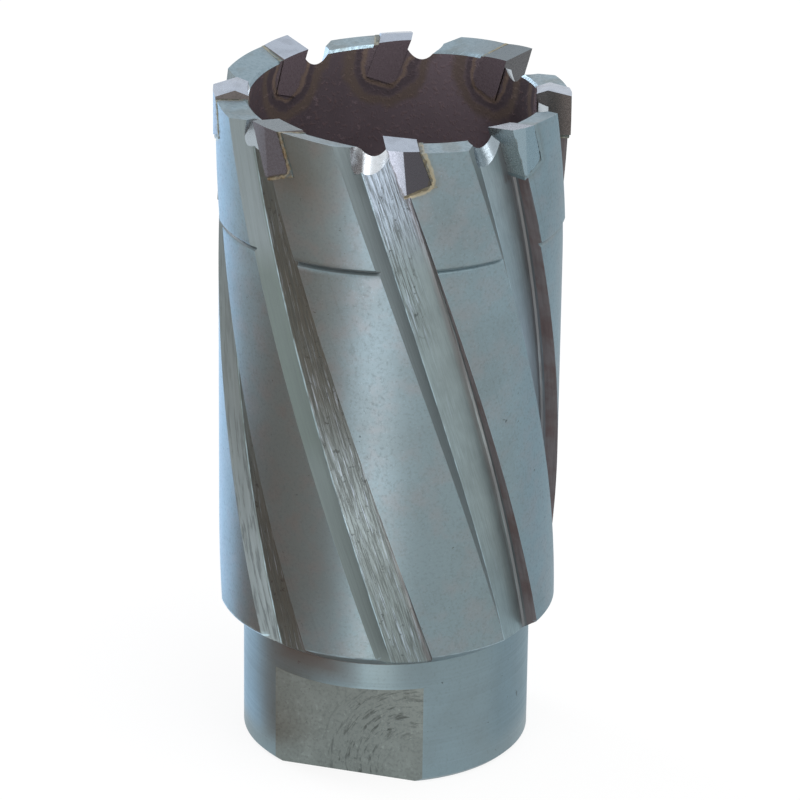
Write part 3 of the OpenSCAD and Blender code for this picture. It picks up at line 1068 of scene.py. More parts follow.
def tongue_mark(s, r, a, z):
    """Nearness to a tip on the bore: a half on its outline, a sixth less for each millimetre off."""
    if z < s.rim_z - 14.0 or r > s.bore_r + SKIN:
        return 0.0
    best = FAR_OFF
    for i in range(TEETH):
        y, w = in_tip(s, i, r, a, z)
        off = math.hypot(y - 0.5 * s.tip_t - 0.1, min(0.0, w + TONGUE_DROP)) - TONGUE_R
        best = min(best, off + 0.22 * ripple(a * 0.3, z * 0.8, i * 1.7))
    return max(0.0, 0.5 - best / 6.0)


def on_outside(rule):
    """A rule that holds on the outside above the shank only."""
    return lambda s, r, a, z: rule(s, r, a, z) if z > s.shank_h and r > s.bore_r + SKIN else 0.0


BODY_MARKS = {
    "wear": on_outside(edge_wear_and_highlight),
    "streaky": on_outside(lambda s, r, a, z: flute_marks(s, a, z)[0]),
    "tarnish": on_outside(lambda s, r, a, z: flute_marks(s, a, z)[1]),
    "stain": on_outside(lambda s, r, a, z: flute_marks(s, a, z)[2]),
    "grime": painted_shade_mark,
    "scorch": scorch_mark,
    "dull": gullet_shade_mark,
}
BRAZE_MARKS = {"tongue": tongue_mark, "seam": seam_mark}


def mark_points(s, mesh, rules):
    """Keeps values for each point of a mesh by rules of its radius, direction and height."""
    places = []
    for v in mesh.vertices:
        x, y, z = v.co / MM
        places.append((math.hypot(x, y), math.degrees(math.atan2(y, x)), z))
    for name, rule in rules.items():
        store(mesh, name, "FLOAT", "POINT", [rule(s, *place) for place in places])


def shader_group(name, inputs, outputs):
    """An empty shader node group with its sockets."""
    tree = bpy.data.node_groups.new(name, "ShaderNodeTree")
    for label, kind, value in inputs:
        socket(tree, label, kind, value=value)
    for label, kind in outputs:
        socket(tree, label, kind, "OUTPUT")
    return tree, node(tree, "NodeGroupInput"), node(tree, "NodeGroupOutput")


def vector_math(tree, operation, first, second):
    """A vector math node whose inputs are sockets or fixed vectors."""
    made = node(tree, "ShaderNodeVectorMath", operation=operation)
    for k, value in enumerate((first, second)):
        if isinstance(value, tuple):
            made.inputs[k].default_value = value
        else:
            tree.links.new(value, made.inputs[k])
    return made.outputs[0]


def place_in_mm(tree):
    """Object coordinates in millimetres."""
    place = node(tree, "ShaderNodeTexCoord")
    return vector_math(tree, "MULTIPLY", place.outputs["Object"], (1 / MM, 1 / MM, 1 / MM))


def noise_of(tree, vector, detail=3.0, roughness=0.55):
    """A noise texture at scale 1 on a vector."""
    made = node(tree, "ShaderNodeTexNoise")
    tree.links.new(vector, made.inputs["Vector"])
    made.inputs["Scale"].default_value = 1.0
    made.inputs["Detail"].default_value = detail
    made.inputs["Roughness"].default_value = roughness
    return made.outputs[0]


def ramp_of(tree, value, low, high):
    """A value mapped from low and high to 0 and 1, clamped."""
    made = node(tree, "ShaderNodeMapRange", clamp=True)
    tree.links.new(value, made.inputs["Value"])
    for label, end in (("From Min", low), ("From Max", high)):
        if isinstance(end, (int, float)):
            made.inputs[label].default_value = end
        else:
            tree.links.new(end, made.inputs[label])
    return made.outputs["Result"]


def helix_streaks_group(lead):
    """Streaks that follow the flutes."""
    tree, given, result = shader_group(
        "helix streaks",
        [
            ("Across", "NodeSocketFloat", 2.5),
            ("Along", "NodeSocketFloat", 0.15),
            ("Low", "NodeSocketFloat", 0.35),
            ("High", "NodeSocketFloat", 0.65),
        ],
        [("Streak", "NodeSocketFloat")],
    )
    place = place_in_mm(tree)
    parts = node(tree, "ShaderNodeSeparateXYZ")
    tree.links.new(place, parts.inputs[0])
    turn = math_node(tree, "MULTIPLY", parts.outputs["Z"], 2 * math.pi / lead)
    straight = node(tree, "ShaderNodeVectorRotate", rotation_type="Z_AXIS")
    tree.links.new(place, straight.inputs["Vector"])
    tree.links.new(turn, straight.inputs["Angle"])
    scale = node(tree, "ShaderNodeCombineXYZ")
    tree.links.new(given.outputs["Across"], scale.inputs["X"])
    tree.links.new(given.outputs["Across"], scale.inputs["Y"])
    tree.links.new(given.outputs["Along"], scale.inputs["Z"])
    grain = noise_of(tree, vector_math(tree, "MULTIPLY", straight.outputs[0], scale.outputs[0]), 4.0, 0.62)
    tree.links.new(ramp_of(tree, grain, given.outputs["Low"], given.outputs["High"]), result.inputs["Streak"])
    return tree


def speckle_group():
    """Specks or blotches of a given size."""
    tree, given, result = shader_group(
        "speckle",
        [
            ("Per millimetre", "NodeSocketFloat", 3.0),
            ("Low", "NodeSocketFloat", 0.55),
            ("High", "NodeSocketFloat", 0.7),
        ],
        [("Speck", "NodeSocketFloat")],
    )
    scale = node(tree, "ShaderNodeVectorMath", operation="SCALE")
    tree.links.new(place_in_mm(tree), scale.inputs[0])
    tree.links.new(given.outputs["Per millimetre"], scale.inputs["Scale"])
    grain = noise_of(tree, scale.outputs[0], 3.0, 0.6)
    tree.links.new(ramp_of(tree, grain, given.outputs["Low"], given.outputs["High"]), result.inputs["Speck"])
    return tree


def turned_lines_group():
    """Fine lines around the axis, as a lathe leaves them."""
    tree, given, result = shader_group(
        "turned lines",
        [("Per millimetre", "NodeSocketFloat", 6.0)],
        [("Line", "NodeSocketFloat")],
    )
    parts = node(tree, "ShaderNodeSeparateXYZ")
    tree.links.new(place_in_mm(tree), parts.inputs[0])
    across = math_node(tree, "MULTIPLY", parts.outputs["X"], parts.outputs["X"])
    deep = math_node(tree, "MULTIPLY_ADD", parts.outputs["Y"], parts.outputs["Y"], across)
    radius = math_node(tree, "SQRT", deep)
    flat = node(tree, "ShaderNodeCombineXYZ")
    for value, side in ((radius, "X"), (parts.outputs["Z"], "Y")):
        scaled = math_node(tree, "MULTIPLY", value, given.outputs["Per millimetre"])
        tree.links.new(scaled, flat.inputs[side])
    grain = noise_of(tree, flat.outputs[0], 2.0, 0.5)
    tree.links.new(ramp_of(tree, grain, 0.3, 0.7), result.inputs["Line"])
    return tree


def edge_wear_and_highlight_group():
    """Worn edges with a painted highlight, from the value kept at each point, made uneven by noise."""
    tree, _, result = shader_group("edge wear", [], [("Wear", "NodeSocketFloat")])
    wear = node(tree, "ShaderNodeAttribute", attribute_name="wear")
    grain = noise_of(tree, vector_math(tree, "MULTIPLY", place_in_mm(tree), (0.9, 0.9, 0.22)), 3.0, 0.6)
    uneven = math_node(tree, "MULTIPLY_ADD", ramp_of(tree, grain, 0.42, 0.58), 0.85, 0.15)
    worn = math_node(tree, "MULTIPLY", ramp_of(tree, wear.outputs["Fac"], 0.6, 1.0), uneven)
    # Values above 1 give a full painted highlight.
    bare = ramp_of(tree, wear.outputs["Fac"], 1.1, 1.6)
    tree.links.new(math_node(tree, "MAXIMUM", worn, bare), result.inputs["Wear"])
    return tree


TONGUE_BANDS = {
    "Halo": (0.06, 0.16, 0.25, 0.32),
    "Dark": (0.27, 0.34, 0.41, 0.45),
    "Outline": (0.41, 0.455, 0.49, 0.54),
    "Tip": (0.49, 0.54, 2.0, 3.0),
}
SEAM_BANDS = {"Line": (0.28, 0.33, 0.41, 0.44), "Gap": (0.41, 0.44, 0.5, 0.53)}


def braze_bands_group(name, kept_name, bands, grains, uneven):
    """Bands around the tips from the kept nearness of each point, made uneven by noise."""
    tree, _, result = shader_group(name, [], [(band, "NodeSocketFloat") for band in bands])
    kept = node(tree, "ShaderNodeAttribute", attribute_name=kept_name)
    place = vector_math(tree, "MULTIPLY", place_in_mm(tree), (grains, grains, grains))
    off = math_node(tree, "SUBTRACT", noise_of(tree, place, 3.0, 0.6), 0.5)
    near = math_node(tree, "MULTIPLY_ADD", off, uneven, kept.outputs["Fac"])
    for band, (start, full, ebb, end) in bands.items():
        rising = ramp_of(tree, near, start, full)
        falling = math_node(tree, "SUBTRACT", 1.0, ramp_of(tree, near, ebb, end))
        tree.links.new(math_node(tree, "MULTIPLY", rising, falling), result.inputs[band])
    return tree


def milled_arcs_group(turn):
    """Arcs that a face mill leaves on the wrench flats, strongest to the right of the middle."""
    tree, _, result = shader_group("milled arcs", [], [("Arc", "NodeSocketFloat")])
    flat = node(tree, "ShaderNodeMapping", vector_type="POINT")
    tree.links.new(place_in_mm(tree), flat.inputs["Vector"])
    flat.inputs["Rotation"].default_value = (0.0, 0.0, -turn)
    parts = node(tree, "ShaderNodeSeparateXYZ")
    tree.links.new(flat.outputs[0], parts.inputs[0])
    side = math_node(tree, "SUBTRACT", parts.outputs["Y"], 8.0)
    high = math_node(tree, "SUBTRACT", parts.outputs["Z"], 1.0)
    radius = math_node(
        tree, "SQRT", math_node(tree, "MULTIPLY_ADD", side, side, math_node(tree, "MULTIPLY", high, high))
    )
    sweep = math_node(tree, "ARCTAN2", high, side)
    marks = node(tree, "ShaderNodeCombineXYZ")
    tree.links.new(math_node(tree, "MULTIPLY", radius, 2.6), marks.inputs["X"])
    tree.links.new(math_node(tree, "MULTIPLY", sweep, 3.2), marks.inputs["Y"])
    grain = ramp_of(tree, noise_of(tree, marks.outputs[0], 4.0, 0.65), 0.52, 0.64)
    where = math_node(tree, "MULTIPLY", ramp_of(tree, radius, 3.0, 6.0), ramp_of(tree, radius, 12.0, 8.5))
    tree.links.new(math_node(tree, "MULTIPLY", grain, where), result.inputs["Arc"])
    return tree


def empty_tree(owner):
    """The node tree of a material or of the surround, emptied."""
    owner.use_nodes = True
    owner.node_tree.nodes.clear()
    return owner.node_tree


class Finish:
    """One material in the making: a Principled shader and the nodes that feed it."""

    def __init__(self, groups, name, metallic, roughness):
        self.groups = groups
        self.material = bpy.data.materials.new(name)
        self.tree = empty_tree(self.material)
        self.shader = node(self.tree, "ShaderNodeBsdfPrincipled")
        output = node(self.tree, "ShaderNodeOutputMaterial")
        self.tree.links.new(self.shader.outputs[0], output.inputs["Surface"])
        self.shader.inputs["Metallic"].default_value = metallic
        self.shader.inputs["Roughness"].default_value = roughness
        self.colour = None

    def outputs(self, effect, *values):
        """The outputs of a shared effect with its inputs set in their order."""
        made = node(self.tree, "ShaderNodeGroup", node_tree=self.groups[effect])
        for k, value in enumerate(values):
            made.inputs[k].default_value = value
        return made.outputs

    def group(self, effect, *values):
        """The first output of a shared effect."""
        return self.outputs(effect, *values)[0]

    def specks(self, per_millimetre, low, high):
        """Specks or blotches, by their number in a millimetre and the noise between bare and full."""
        return self.group("speckle", per_millimetre, low, high)

    def streaks(self, across, along, low, high):
        """Streaks along the flutes, by their number in a millimetre across and along."""
        return self.group("streaks", across, along, low, high)

    def ramp(self, value, low, high):
        """A value mapped from low and high to 0 and 1."""
        return ramp_of(self.tree, value, low, high)

    def both(self, first, second):
        """Where two masks meet."""
        return math_node(self.tree, "MULTIPLY", first, second)

    def attribute(self, name):
        """A kept value of the piece."""
        return node(self.tree, "ShaderNodeAttribute", attribute_name=name).outputs["Fac"]

    def base(self, value):
        """Starts the colour."""
        self.colour = tuple(value)

    def tint(self, value, mask, share=1.0):
        """Mixes a colour over the present one by a mask."""
        mix = node(self.tree, "ShaderNodeMix", data_type="RGBA")
        weight = math_node(self.tree, "MULTIPLY", mask, share)
        self.tree.links.new(weight, mix.inputs[0])
        if isinstance(self.colour, tuple):
            mix.inputs[6].default_value = (*self.colour, 1.0)
        else:
            self.tree.links.new(self.colour, mix.inputs[6])
        mix.inputs[7].default_value = (*value, 1.0)
        self.colour = mix.outputs[2]

    def level(self, label, mask, low, high):
        """A number of the shader from low to high by a mask."""
        made = node(self.tree, "ShaderNodeMapRange", clamp=True)
        self.tree.links.new(mask, made.inputs["Value"])
        made.inputs["To Min"].default_value = low
        made.inputs["To Max"].default_value = high
        self.tree.links.new(made.outputs["Result"], self.shader.inputs[label])

    def rough(self, mask, low, high):
        """Roughness from low to high by a mask."""
        self.level("Roughness", mask, low, high)

    def metal(self, mask, low, high):
        """Metallic from low to high by a mask."""
        self.level("Metallic", mask, low, high)

    def relief(self, height, depth, strength=1.0):
        """Bump of a given depth in millimetres."""
        made = node(self.tree, "ShaderNodeBump")
        made.inputs["Distance"].default_value = depth * MM
        made.inputs["Strength"].default_value = strength
        self.tree.links.new(height, made.inputs["Height"])
        self.tree.links.new(made.outputs[0], self.shader.inputs["Normal"])

    def done(self):
        """The finished material."""
        if isinstance(self.colour, tuple):
            self.shader.inputs["Base Color"].default_value = (*self.colour, 1.0)
        else:
            self.tree.links.new(self.colour, self.shader.inputs["Base Color"])
        return self.material


def shade(value, factor):
    """A colour made lighter or darker."""
    return tuple(min(1.0, c * factor) for c in value)


def land_finish(c, g):
    """Satin steel of lands and head: tarnish patches, specks, faint scratches, worn edges with a painted
    highlight, and painted shade in the groove and on the shoulder cone.
    """
    f = Finish(g, "land steel", 0.85, 0.42)
    f.base(c.land)
    f.tint(c.land_dark, f.specks(0.11, 0.45, 0.75), 0.6)
    f.tint(c.land_bloom, f.specks(0.4, 0.46, 0.66), 0.36)
    fine = f.specks(3.4, 0.5, 0.72)
    f.tint(shade(c.land_dark, 0.8), fine, 0.38)
    f.tint(shade(c.land_dark, 0.35), f.specks(1.3, 0.71, 0.75), 0.7)
    f.tint(shade(c.land, 1.3), f.specks(4.3, 0.58, 0.72), 0.4)
    scratch = f.streaks(3.2, 0.05, 0.62, 0.72)
    f.tint(shade(c.land_dark, 0.75), scratch, 0.22)
    f.tint(shade(c.braze, 0.6), f.attribute("scorch"), 0.5)
    seam = f.outputs("seam")
    f.tint(shade(c.braze, 1.7), seam["Line"], 0.7)
    f.tint(shade(c.braze, 0.3), seam["Gap"], 0.6)
    # Worn edges with a painted highlight.
    f.tint(shade(c.land, 2.0), f.group("wear"), 0.9)
    # Painted shade in the groove and on the shoulder cone, with less metal.
    grime = f.attribute("grime")
    f.tint(shade(c.floor_dark, 0.5), grime, 0.85)
    f.metal(grime, 0.85, 0.2)
    f.rough(fine, 0.38, 0.46)
    f.relief(fine, 0.008, 0.25)
    return f.done()


def floor_finish(c, g):
    """Milled flute floor: like the lands where smooth, elsewhere with long dark and bright streaks; a painted
    highlight high in some flutes and along the worn edges, and a stain with painted shade at the foot of the
    rake wall.
    """
    f = Finish(g, "flute floor steel", 0.85, 0.4)
    streaky = f.attribute("streaky")
    streak = f.streaks(6.0, 0.42, 0.44, 0.6)
    tarnish = f.attribute("tarnish")
    f.base(c.floor)
    f.tint(shade(c.floor_dark, 1.6), f.ramp(tarnish, 0.0, 1.0), 0.9)
    # Painted highlight where the value is below 0.
    f.tint(c.polish, f.ramp(tarnish, 0.0, -1.0), 0.9)
    f.tint(c.floor_dark, f.specks(0.2, 0.45, 0.7), 0.2)
    fine = f.streaks(8.0, 0.6, 0.4, 0.66)
    f.tint(shade(c.floor, 0.6), fine, 0.25)
    f.tint(c.floor_dark, f.both(streak, streaky), 0.7)
    light = f.streaks(4.8, 0.26, 0.57, 0.68)
    f.tint(shade(c.polish, 1.4), f.both(light, streaky), 0.6)
    pits = f.specks(1.5, 0.62, 0.7)
    f.tint(shade(c.floor_dark, 0.4), f.both(pits, streaky), 0.7)
    broken = f.streaks(2.0, 0.1, 0.3, 0.46)
    # Stain and painted shade at the foot of the rake wall and beside the tips.
    f.tint(shade(c.rake, 0.65), f.both(f.attribute("stain"), broken), 0.65)
    # Worn edges and the line along the heel foot, with a painted highlight.
    f.tint(shade(c.land, 2.2), f.group("wear"), 0.9)
    f.rough(streak, 0.36, 0.48)
    f.relief(f.both(streak, streaky), 0.03, 0.4)
    return f.done()


def heel_finish(c, g):
    """Sloped heel wall: greenish grey with faint streaks and a painted highlight along its foot."""
    f = Finish(g, "heel wall steel", 0.85, 0.42)
    streak = f.streaks(4.0, 0.12, 0.38, 0.66)
    f.base(c.heel)
    f.tint(c.heel_dark, f.ramp(f.attribute("tarnish"), 0.0, 0.6), 0.9)
    f.tint(shade(c.heel, 0.65), streak, 0.3)
    rough = f.streaks(3.4, 0.3, 0.5, 0.62)
    f.tint(shade(c.heel, 0.4), f.both(rough, f.attribute("streaky")), 0.8)
    # Painted highlight along the foot and the worn edge.
    f.tint(shade(c.land, 2.2), f.group("wear"), 0.9)
    f.rough(streak, 0.38, 0.48)
    f.relief(streak, 0.015, 0.3)
    return f.done()


def rake_finish(c, g):
    """Rake wall: dark and heat-stained, reddish in places."""
    f = Finish(g, "rake wall steel", 0.4, 0.5)
    streak = f.streaks(2.6, 0.2, 0.36, 0.66)
    f.base(c.rake)
    f.tint(shade(c.rust, 0.6), f.specks(0.35, 0.45, 0.62), 0.6)
    f.tint(shade(c.rake, 0.4), streak, 0.45)
    # Worn rake edge with a painted highlight.
    f.tint(shade(c.land, 1.9), f.group("wear"), 0.6)
    f.rough(streak, 0.42, 0.58)
    f.relief(streak, 0.03, 0.4)
    return f.done()


def bore_finish(c, g):
    """Core bore: dark heat-tinted skin with rust specks, rounded brown halos around the tips, painted shade
    at the left and far right and a painted lighter band right of the middle.
    """
    f = Finish(g, "bore skin", 0.35, 0.6)
    specks = f.specks(2.2, 0.52, 0.68)
    f.base(c.bore)
    f.tint(shade(c.bore, 0.65), f.specks(0.16, 0.4, 0.65), 0.6)
    # Painted shade on the left and behind the right-front tip, and a painted lighter band right of the
    # middle, by object X across the view.
    parts = node(f.tree, "ShaderNodeSeparateXYZ")
    f.tree.links.new(place_in_mm(f.tree), parts.inputs[0])
    f.tint(shade(c.bore, 0.55), f.ramp(parts.outputs["X"], -1.0, -12.0), 0.8)
    f.tint(shade(c.bore, 1.6), f.ramp(parts.outputs["X"], -2.0, 6.0), 0.6)
    f.tint(shade(c.bore, 0.4), f.ramp(parts.outputs["X"], 8.5, 12.0), 0.95)
    f.tint(shade(c.rust, 0.75), specks, 0.35)
    f.tint(shade(c.bore, 1.7), f.specks(1.1, 0.62, 0.7), 0.35)
    bands = f.outputs("tongue")
    f.tint(c.halo, bands["Halo"], 0.75)
    f.tint(shade(c.bore, 0.5), bands["Dark"], 0.7)
    f.tint(c.tan, bands["Outline"], 0.8)
    f.tint(shade(c.bore, 1.1), bands["Tip"], 0.9)
    f.rough(specks, 0.5, 0.7)
    f.relief(specks, 0.03, 0.5)
    return f.done()


def rim_finish(c, g):
    """Ground steel tooth tops."""
    f = Finish(g, "rim steel", 0.85, 0.42)
    grain = f.specks(2.6, 0.42, 0.68)
    f.base(c.rim)
    f.tint(shade(c.rim, 0.5), grain, 0.35)
    f.tint(shade(c.heel, 0.7), f.specks(0.28, 0.5, 0.62), 0.6)
    f.tint(c.halo, f.attribute("scorch"), 0.4)
    f.rough(grain, 0.36, 0.55)
    f.relief(grain, 0.03, 0.5)
    return f.done()


def shank_finish(c, g):
    """Turned shank: satin steel with fine lathe lines, and a painted shadow below the left front of the body.
    """
    f = Finish(g, "shank steel", 0.85, 0.42)
    lines = f.group("turned", 5.0)
    f.base(c.land)
    f.tint(c.land_dark, f.specks(0.13, 0.45, 0.75), 0.5)
    f.tint(shade(c.land_dark, 0.75), lines, 0.1)
    f.tint(shade(c.land_dark, 0.65), f.specks(3.4, 0.52, 0.72), 0.22)
    f.tint(shade(c.land_dark, 0.35), f.specks(1.1, 0.7, 0.74), 0.7)
    # Painted shadow below the left front of the body, with less metal.
    grime = f.attribute("grime")
    f.tint(shade(c.halo, 0.55), grime, 0.85)
    f.metal(grime, 0.85, 0.4)
    f.rough(lines, 0.38, 0.46)
    f.relief(lines, 0.004, 0.3)
    return f.done()


def thread_finish(c, g):
    """Threaded bore and web."""
    f = Finish(g, "thread steel", 0.85, 0.4)
    lines = f.group("turned", 3.0)
    f.base(shade(c.land, 0.9))
    f.tint(shade(c.land_dark, 0.5), lines, 0.5)
    f.tint(shade(c.rust, 0.9), f.specks(0.5, 0.55, 0.7), 0.3)
    f.rough(lines, 0.34, 0.5)
    f.relief(lines, 0.015, 0.4)
    return f.done()


def gullet_finish(c, g):
    """Scoops ground ahead of the tips: bright steel with a painted highlight, dimmed by painted shade at some
    teeth.
    """
    f = Finish(g, "gullet steel", 0.9, 0.28)
    grain = f.specks(1.8, 0.48, 0.72)
    f.base(c.gullet)
    f.tint(shade(c.gullet, 0.4), grain, 0.3)
    # Painted shade on the dimmed gullets.
    f.tint(shade(c.rim, 0.8), f.attribute("dull"), 0.9)
    f.rough(grain, 0.25, 0.36)
    f.relief(grain, 0.02, 0.2)
    return f.done()


def pocket_finish(c, g):
    """Walls of the tip pockets, stained by braze."""
    f = Finish(g, "pocket steel", 0.7, 0.5)
    grain = f.specks(1.5, 0.42, 0.66)
    f.base(shade(c.braze, 0.5))
    f.tint(shade(c.halo, 0.6), grain, 0.7)
    f.rough(grain, 0.4, 0.6)
    f.relief(grain, 0.03, 0.5)
    return f.done()


def flat_finish(c, g):
    """Wrench flats with the arcs of the face mill."""
    f = Finish(g, "wrench flat steel", 0.8, 0.45)
    arcs = f.group("arcs")
    f.base(c.flat)
    f.tint(shade(c.flat, 1.6), f.specks(0.3, 0.5, 0.7), 0.3)
    f.tint(shade(c.flat, 0.3), arcs, 0.75)
    f.tint(shade(c.flat, 0.6), f.specks(3.2, 0.48, 0.68), 0.45)
    f.tint(shade(c.flat, 1.7), f.specks(2.4, 0.6, 0.72), 0.4)
    f.tint(shade(c.floor_dark, 0.7), f.specks(0.9, 0.7, 0.76), 0.6)
    f.rough(arcs, 0.4, 0.5)
    f.relief(arcs, 0.03, 0.5)
    return f.done()


def carbide_finish(c, g):
    """Hard-metal tips: dark sintered margins, bright ground facets, and a painted lighter front face on the
    brightest tip.
    """
    f = Finish(g, "hard metal", 0.85, 0.3)
    grain = f.specks(4.0, 0.45, 0.7)
    ground = f.attribute("ground")
    f.base(c.carbide)
    f.tint(shade(c.carbide, 0.6), grain, 0.5)
    f.tint(c.ground, ground, 1.0)
    dull = f.specks(0.8, 0.48, 0.66)
    f.tint(shade(c.ground, 0.6), f.both(ground, dull), 0.35)
    back = f.both(f.ramp(ground, 0.04, 0.1), f.ramp(ground, 0.4, 0.3))
    f.tint(c.sinter, back, 0.9)
    margin = f.both(f.ramp(ground, 0.04, 0.1), f.ramp(ground, 0.95, 0.9))
    bright = f.attribute("bright")
    f.tint(shade(c.land, 1.15), f.both(margin, f.ramp(bright, 0.0, 1.0)), 0.9)
    dull_tip = f.ramp(bright, 0.0, -1.0)
    f.tint(shade(c.sinter, 2.0), f.both(margin, dull_tip), 0.9)
    f.tint(shade(c.rim, 0.4), f.both(f.ramp(ground, 0.95, 0.98), dull_tip), 0.9)
    # Painted lighter front face on the brightest tip.
    front = f.both(f.ramp(ground, 0.04, 0.02), f.ramp(bright, 0.5, 1.0))
    f.tint(shade(c.heel, 1.6), front, 0.85)
    seam = f.outputs("seam")
    f.tint(shade(c.braze, 1.7), f.both(margin, seam["Line"]), 0.8)
    f.tint(shade(c.braze, 0.3), f.both(margin, seam["Gap"]), 0.6)
    bands = f.outputs("tongue")
    inside = f.attribute("inside")
    skin = math_node(f.tree, "SUBTRACT", 1.0, bands["Tip"])
    f.tint(shade(c.bore, 1.1), inside, 0.9)
    f.tint(shade(c.bore, 0.5), f.both(inside, skin), 0.8)
    f.tint(c.tan, f.both(inside, bands["Outline"]), 0.8)
    f.metal(math_node(f.tree, "MAXIMUM", inside, f.both(margin, dull_tip)), 0.85, 0.3)
    f.rough(grain, 0.26, 0.4)
    f.relief(grain, 0.008, 0.4)
    return f.done()


def braze_finish(c, g):
    """Golden braze bead with burnt patches."""
    f = Finish(g, "braze alloy", 0.8, 0.42)
    grain = f.specks(1.6, 0.42, 0.66)
    f.base(c.braze)
    f.tint(shade(c.braze, 0.45), grain, 0.8)
    f.tint(shade(c.braze, 1.5), f.specks(3.0, 0.58, 0.7), 0.5)
    f.tint(shade(c.land, 0.8), f.specks(0.9, 0.46, 0.6), 0.75)
    seam = f.outputs("seam")
    f.tint(shade(c.braze, 1.7), seam["Line"], 0.5)
    f.tint(shade(c.braze, 0.3), seam["Gap"], 0.6)
    f.tint(shade(c.land, 0.95), f.ramp(f.attribute("bright"), 0.0, 1.0), 0.85)
    bands = f.outputs("tongue")
    inside = f.attribute("inside")
    f.tint(shade(c.bore, 0.5), inside, 0.9)
    f.tint(c.tan, f.both(inside, bands["Outline"]), 0.8)
    f.tint(shade(c.bore, 1.1), f.both(inside, bands["Tip"]), 0.9)
    f.metal(inside, 0.8, 0.3)
    f.rough(grain, 0.34, 0.55)
    f.relief(grain, 0.05, 0.5)
    return f.done()


BODY_ZONES = ("Land", "Heel wall", "Flute floor", "Rake wall", "Rim", "Core bore", "Shank", "Thread")
BODY_FINISHES = (
    land_finish, heel_finish, floor_finish, rake_finish,
    rim_finish, bore_finish, shank_finish, thread_finish,
)


def shader_groups(s):
    """The shader effects that the finishes share, made once."""
    makers = {
        "streaks": ("helix streaks", lambda: helix_streaks_group(s.lead)),
        "speckle": ("speckle", speckle_group),
        "turned": ("turned lines", turned_lines_group),
        "wear": ("edge wear", edge_wear_and_highlight_group),
        "tongue": (
            "braze tongue", lambda: braze_bands_group("braze tongue", "tongue", TONGUE_BANDS, 0.9, 0.14),
        ),
        "seam": ("braze seam", lambda: braze_bands_group("braze seam", "seam", SEAM_BANDS, 1.4, 0.16)),
        "arcs": ("milled arcs", lambda: milled_arcs_group(math.radians(s.flat_turn))),
    }
    return {key: bpy.data.node_groups.get(name) or make() for key, (name, make) in makers.items()}


def ring_tree():
    """The tooth ring tree, made once."""
    return bpy.data.node_groups.get("tooth ring") or tooth_ring_tree()


def smooth_by_angle(thing, degrees):
    """Smooth shading with sharp edges above an angle."""
    thing.data.shade_smooth()
    thing.data.set_sharp_from_angle(angle=math.radians(degrees))


class CUTTER_OT_body(bpy.types.Operator):
    """Builds the fluted steel body with its bore, shank, flats, gullets and tip pockets"""

    bl_idname = "cutter.body"
    bl_label = "Build body"

    def execute(self, context):
        s = Shape(context.scene.cutter_sizes)
        c = context.scene.cutter_colours
        g = shader_groups(s)
        body = new_object("cutter_body_shell", body_blank(s))
        values = {
            "Lead": s.lead * MM,
            "Edge height": s.edge_z * MM,
            "Flute start": s.shank_h * MM,
        }
        values.update({name: make(c, g) for name, make in zip(BODY_ZONES, BODY_FINISHES)})
        through_tree(body, flute_twist_tree(BODY_ZONES), values)
        for mesh, make in ((pocket_cutter(s), pocket_finish), (gullet_cutter(s), gullet_finish)):
            cutter = new_object(mesh.name, mesh)
            ring_of_teeth(s, cutter, make(c, g))
            cut_away(body, cutter)
        flats = new_object("flat_cut", flat_cutters(s))
        flats.data.materials.append(flat_finish(c, g))
        cut_away(body, flats)
        if len(body.data.polygons) < FEWEST_FACES:
            raise RuntimeError("the body lost its shape in the cuts")
        mark_points(s, body.data, BODY_MARKS)
        mark_points(s, body.data, BRAZE_MARKS)
        smooth_by_angle(body, 28)
        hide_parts("cutter_body")
        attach(body, "root")
        return {"FINISHED"}


class CUTTER_OT_tips(bpy.types.Operator):
    """Builds the eight hard-metal tips around the rim"""

    bl_idname = "cutter.tips"
    bl_label = "Build tips"

    def execute(self, context):
        s = Shape(context.scene.cutter_sizes)
        tips = new_object("carbide_tips", tip_mesh(s, False))
        second = new_object("sloped_tip", tip_mesh(s, True))
        ring_of_teeth(s, tips, carbide_finish(context.scene.cutter_colours, shader_groups(s)), second)
        if not tips.data.polygons:
            raise RuntimeError("the tips have no faces")
        mark_points(s, tips.data, BRAZE_MARKS)
        smooth_by_angle(tips, 12)
        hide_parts(*[f"carbide_tip_{k}" for k in range(1, TEETH + 1)])
        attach(tips, "root")
        return {"FINISHED"}


class CUTTER_OT_braze(bpy.types.Operator):
    """Builds the braze beads behind and below the tips"""

    bl_idname = "cutter.braze"
    bl_label = "Build braze"

    def execute(self, context):
        s = Shape(context.scene.cutter_sizes)
        beads = new_object("braze_beads", braze_mesh(s, False))
        second = new_object("sloped_bead", braze_mesh(s, True))
        ring_of_teeth(s, beads, braze_finish(context.scene.cutter_colours, shader_groups(s)), second)
        if not beads.data.polygons:
            raise RuntimeError("the braze beads have no faces")
        mark_points(s, beads.data, BRAZE_MARKS)
        smooth_by_angle(beads, 40)
        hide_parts(*[f"braze_seam_{k}" for k in range(1, TEETH + 1)])
        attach(beads, "root")
        return {"FINISHED"}


def seen_directly(tree):
    """Whether the camera sees a point, itself or in a reflection or through something clear."""
    path = node(tree, "ShaderNodeLightPath")
    seen = math_node(tree, "MAXIMUM", path.outputs["Is Camera Ray"], path.outputs["Is Glossy Ray"])
    return math_node(tree, "MAXIMUM", seen, path.outputs["Is Transmission Ray"])


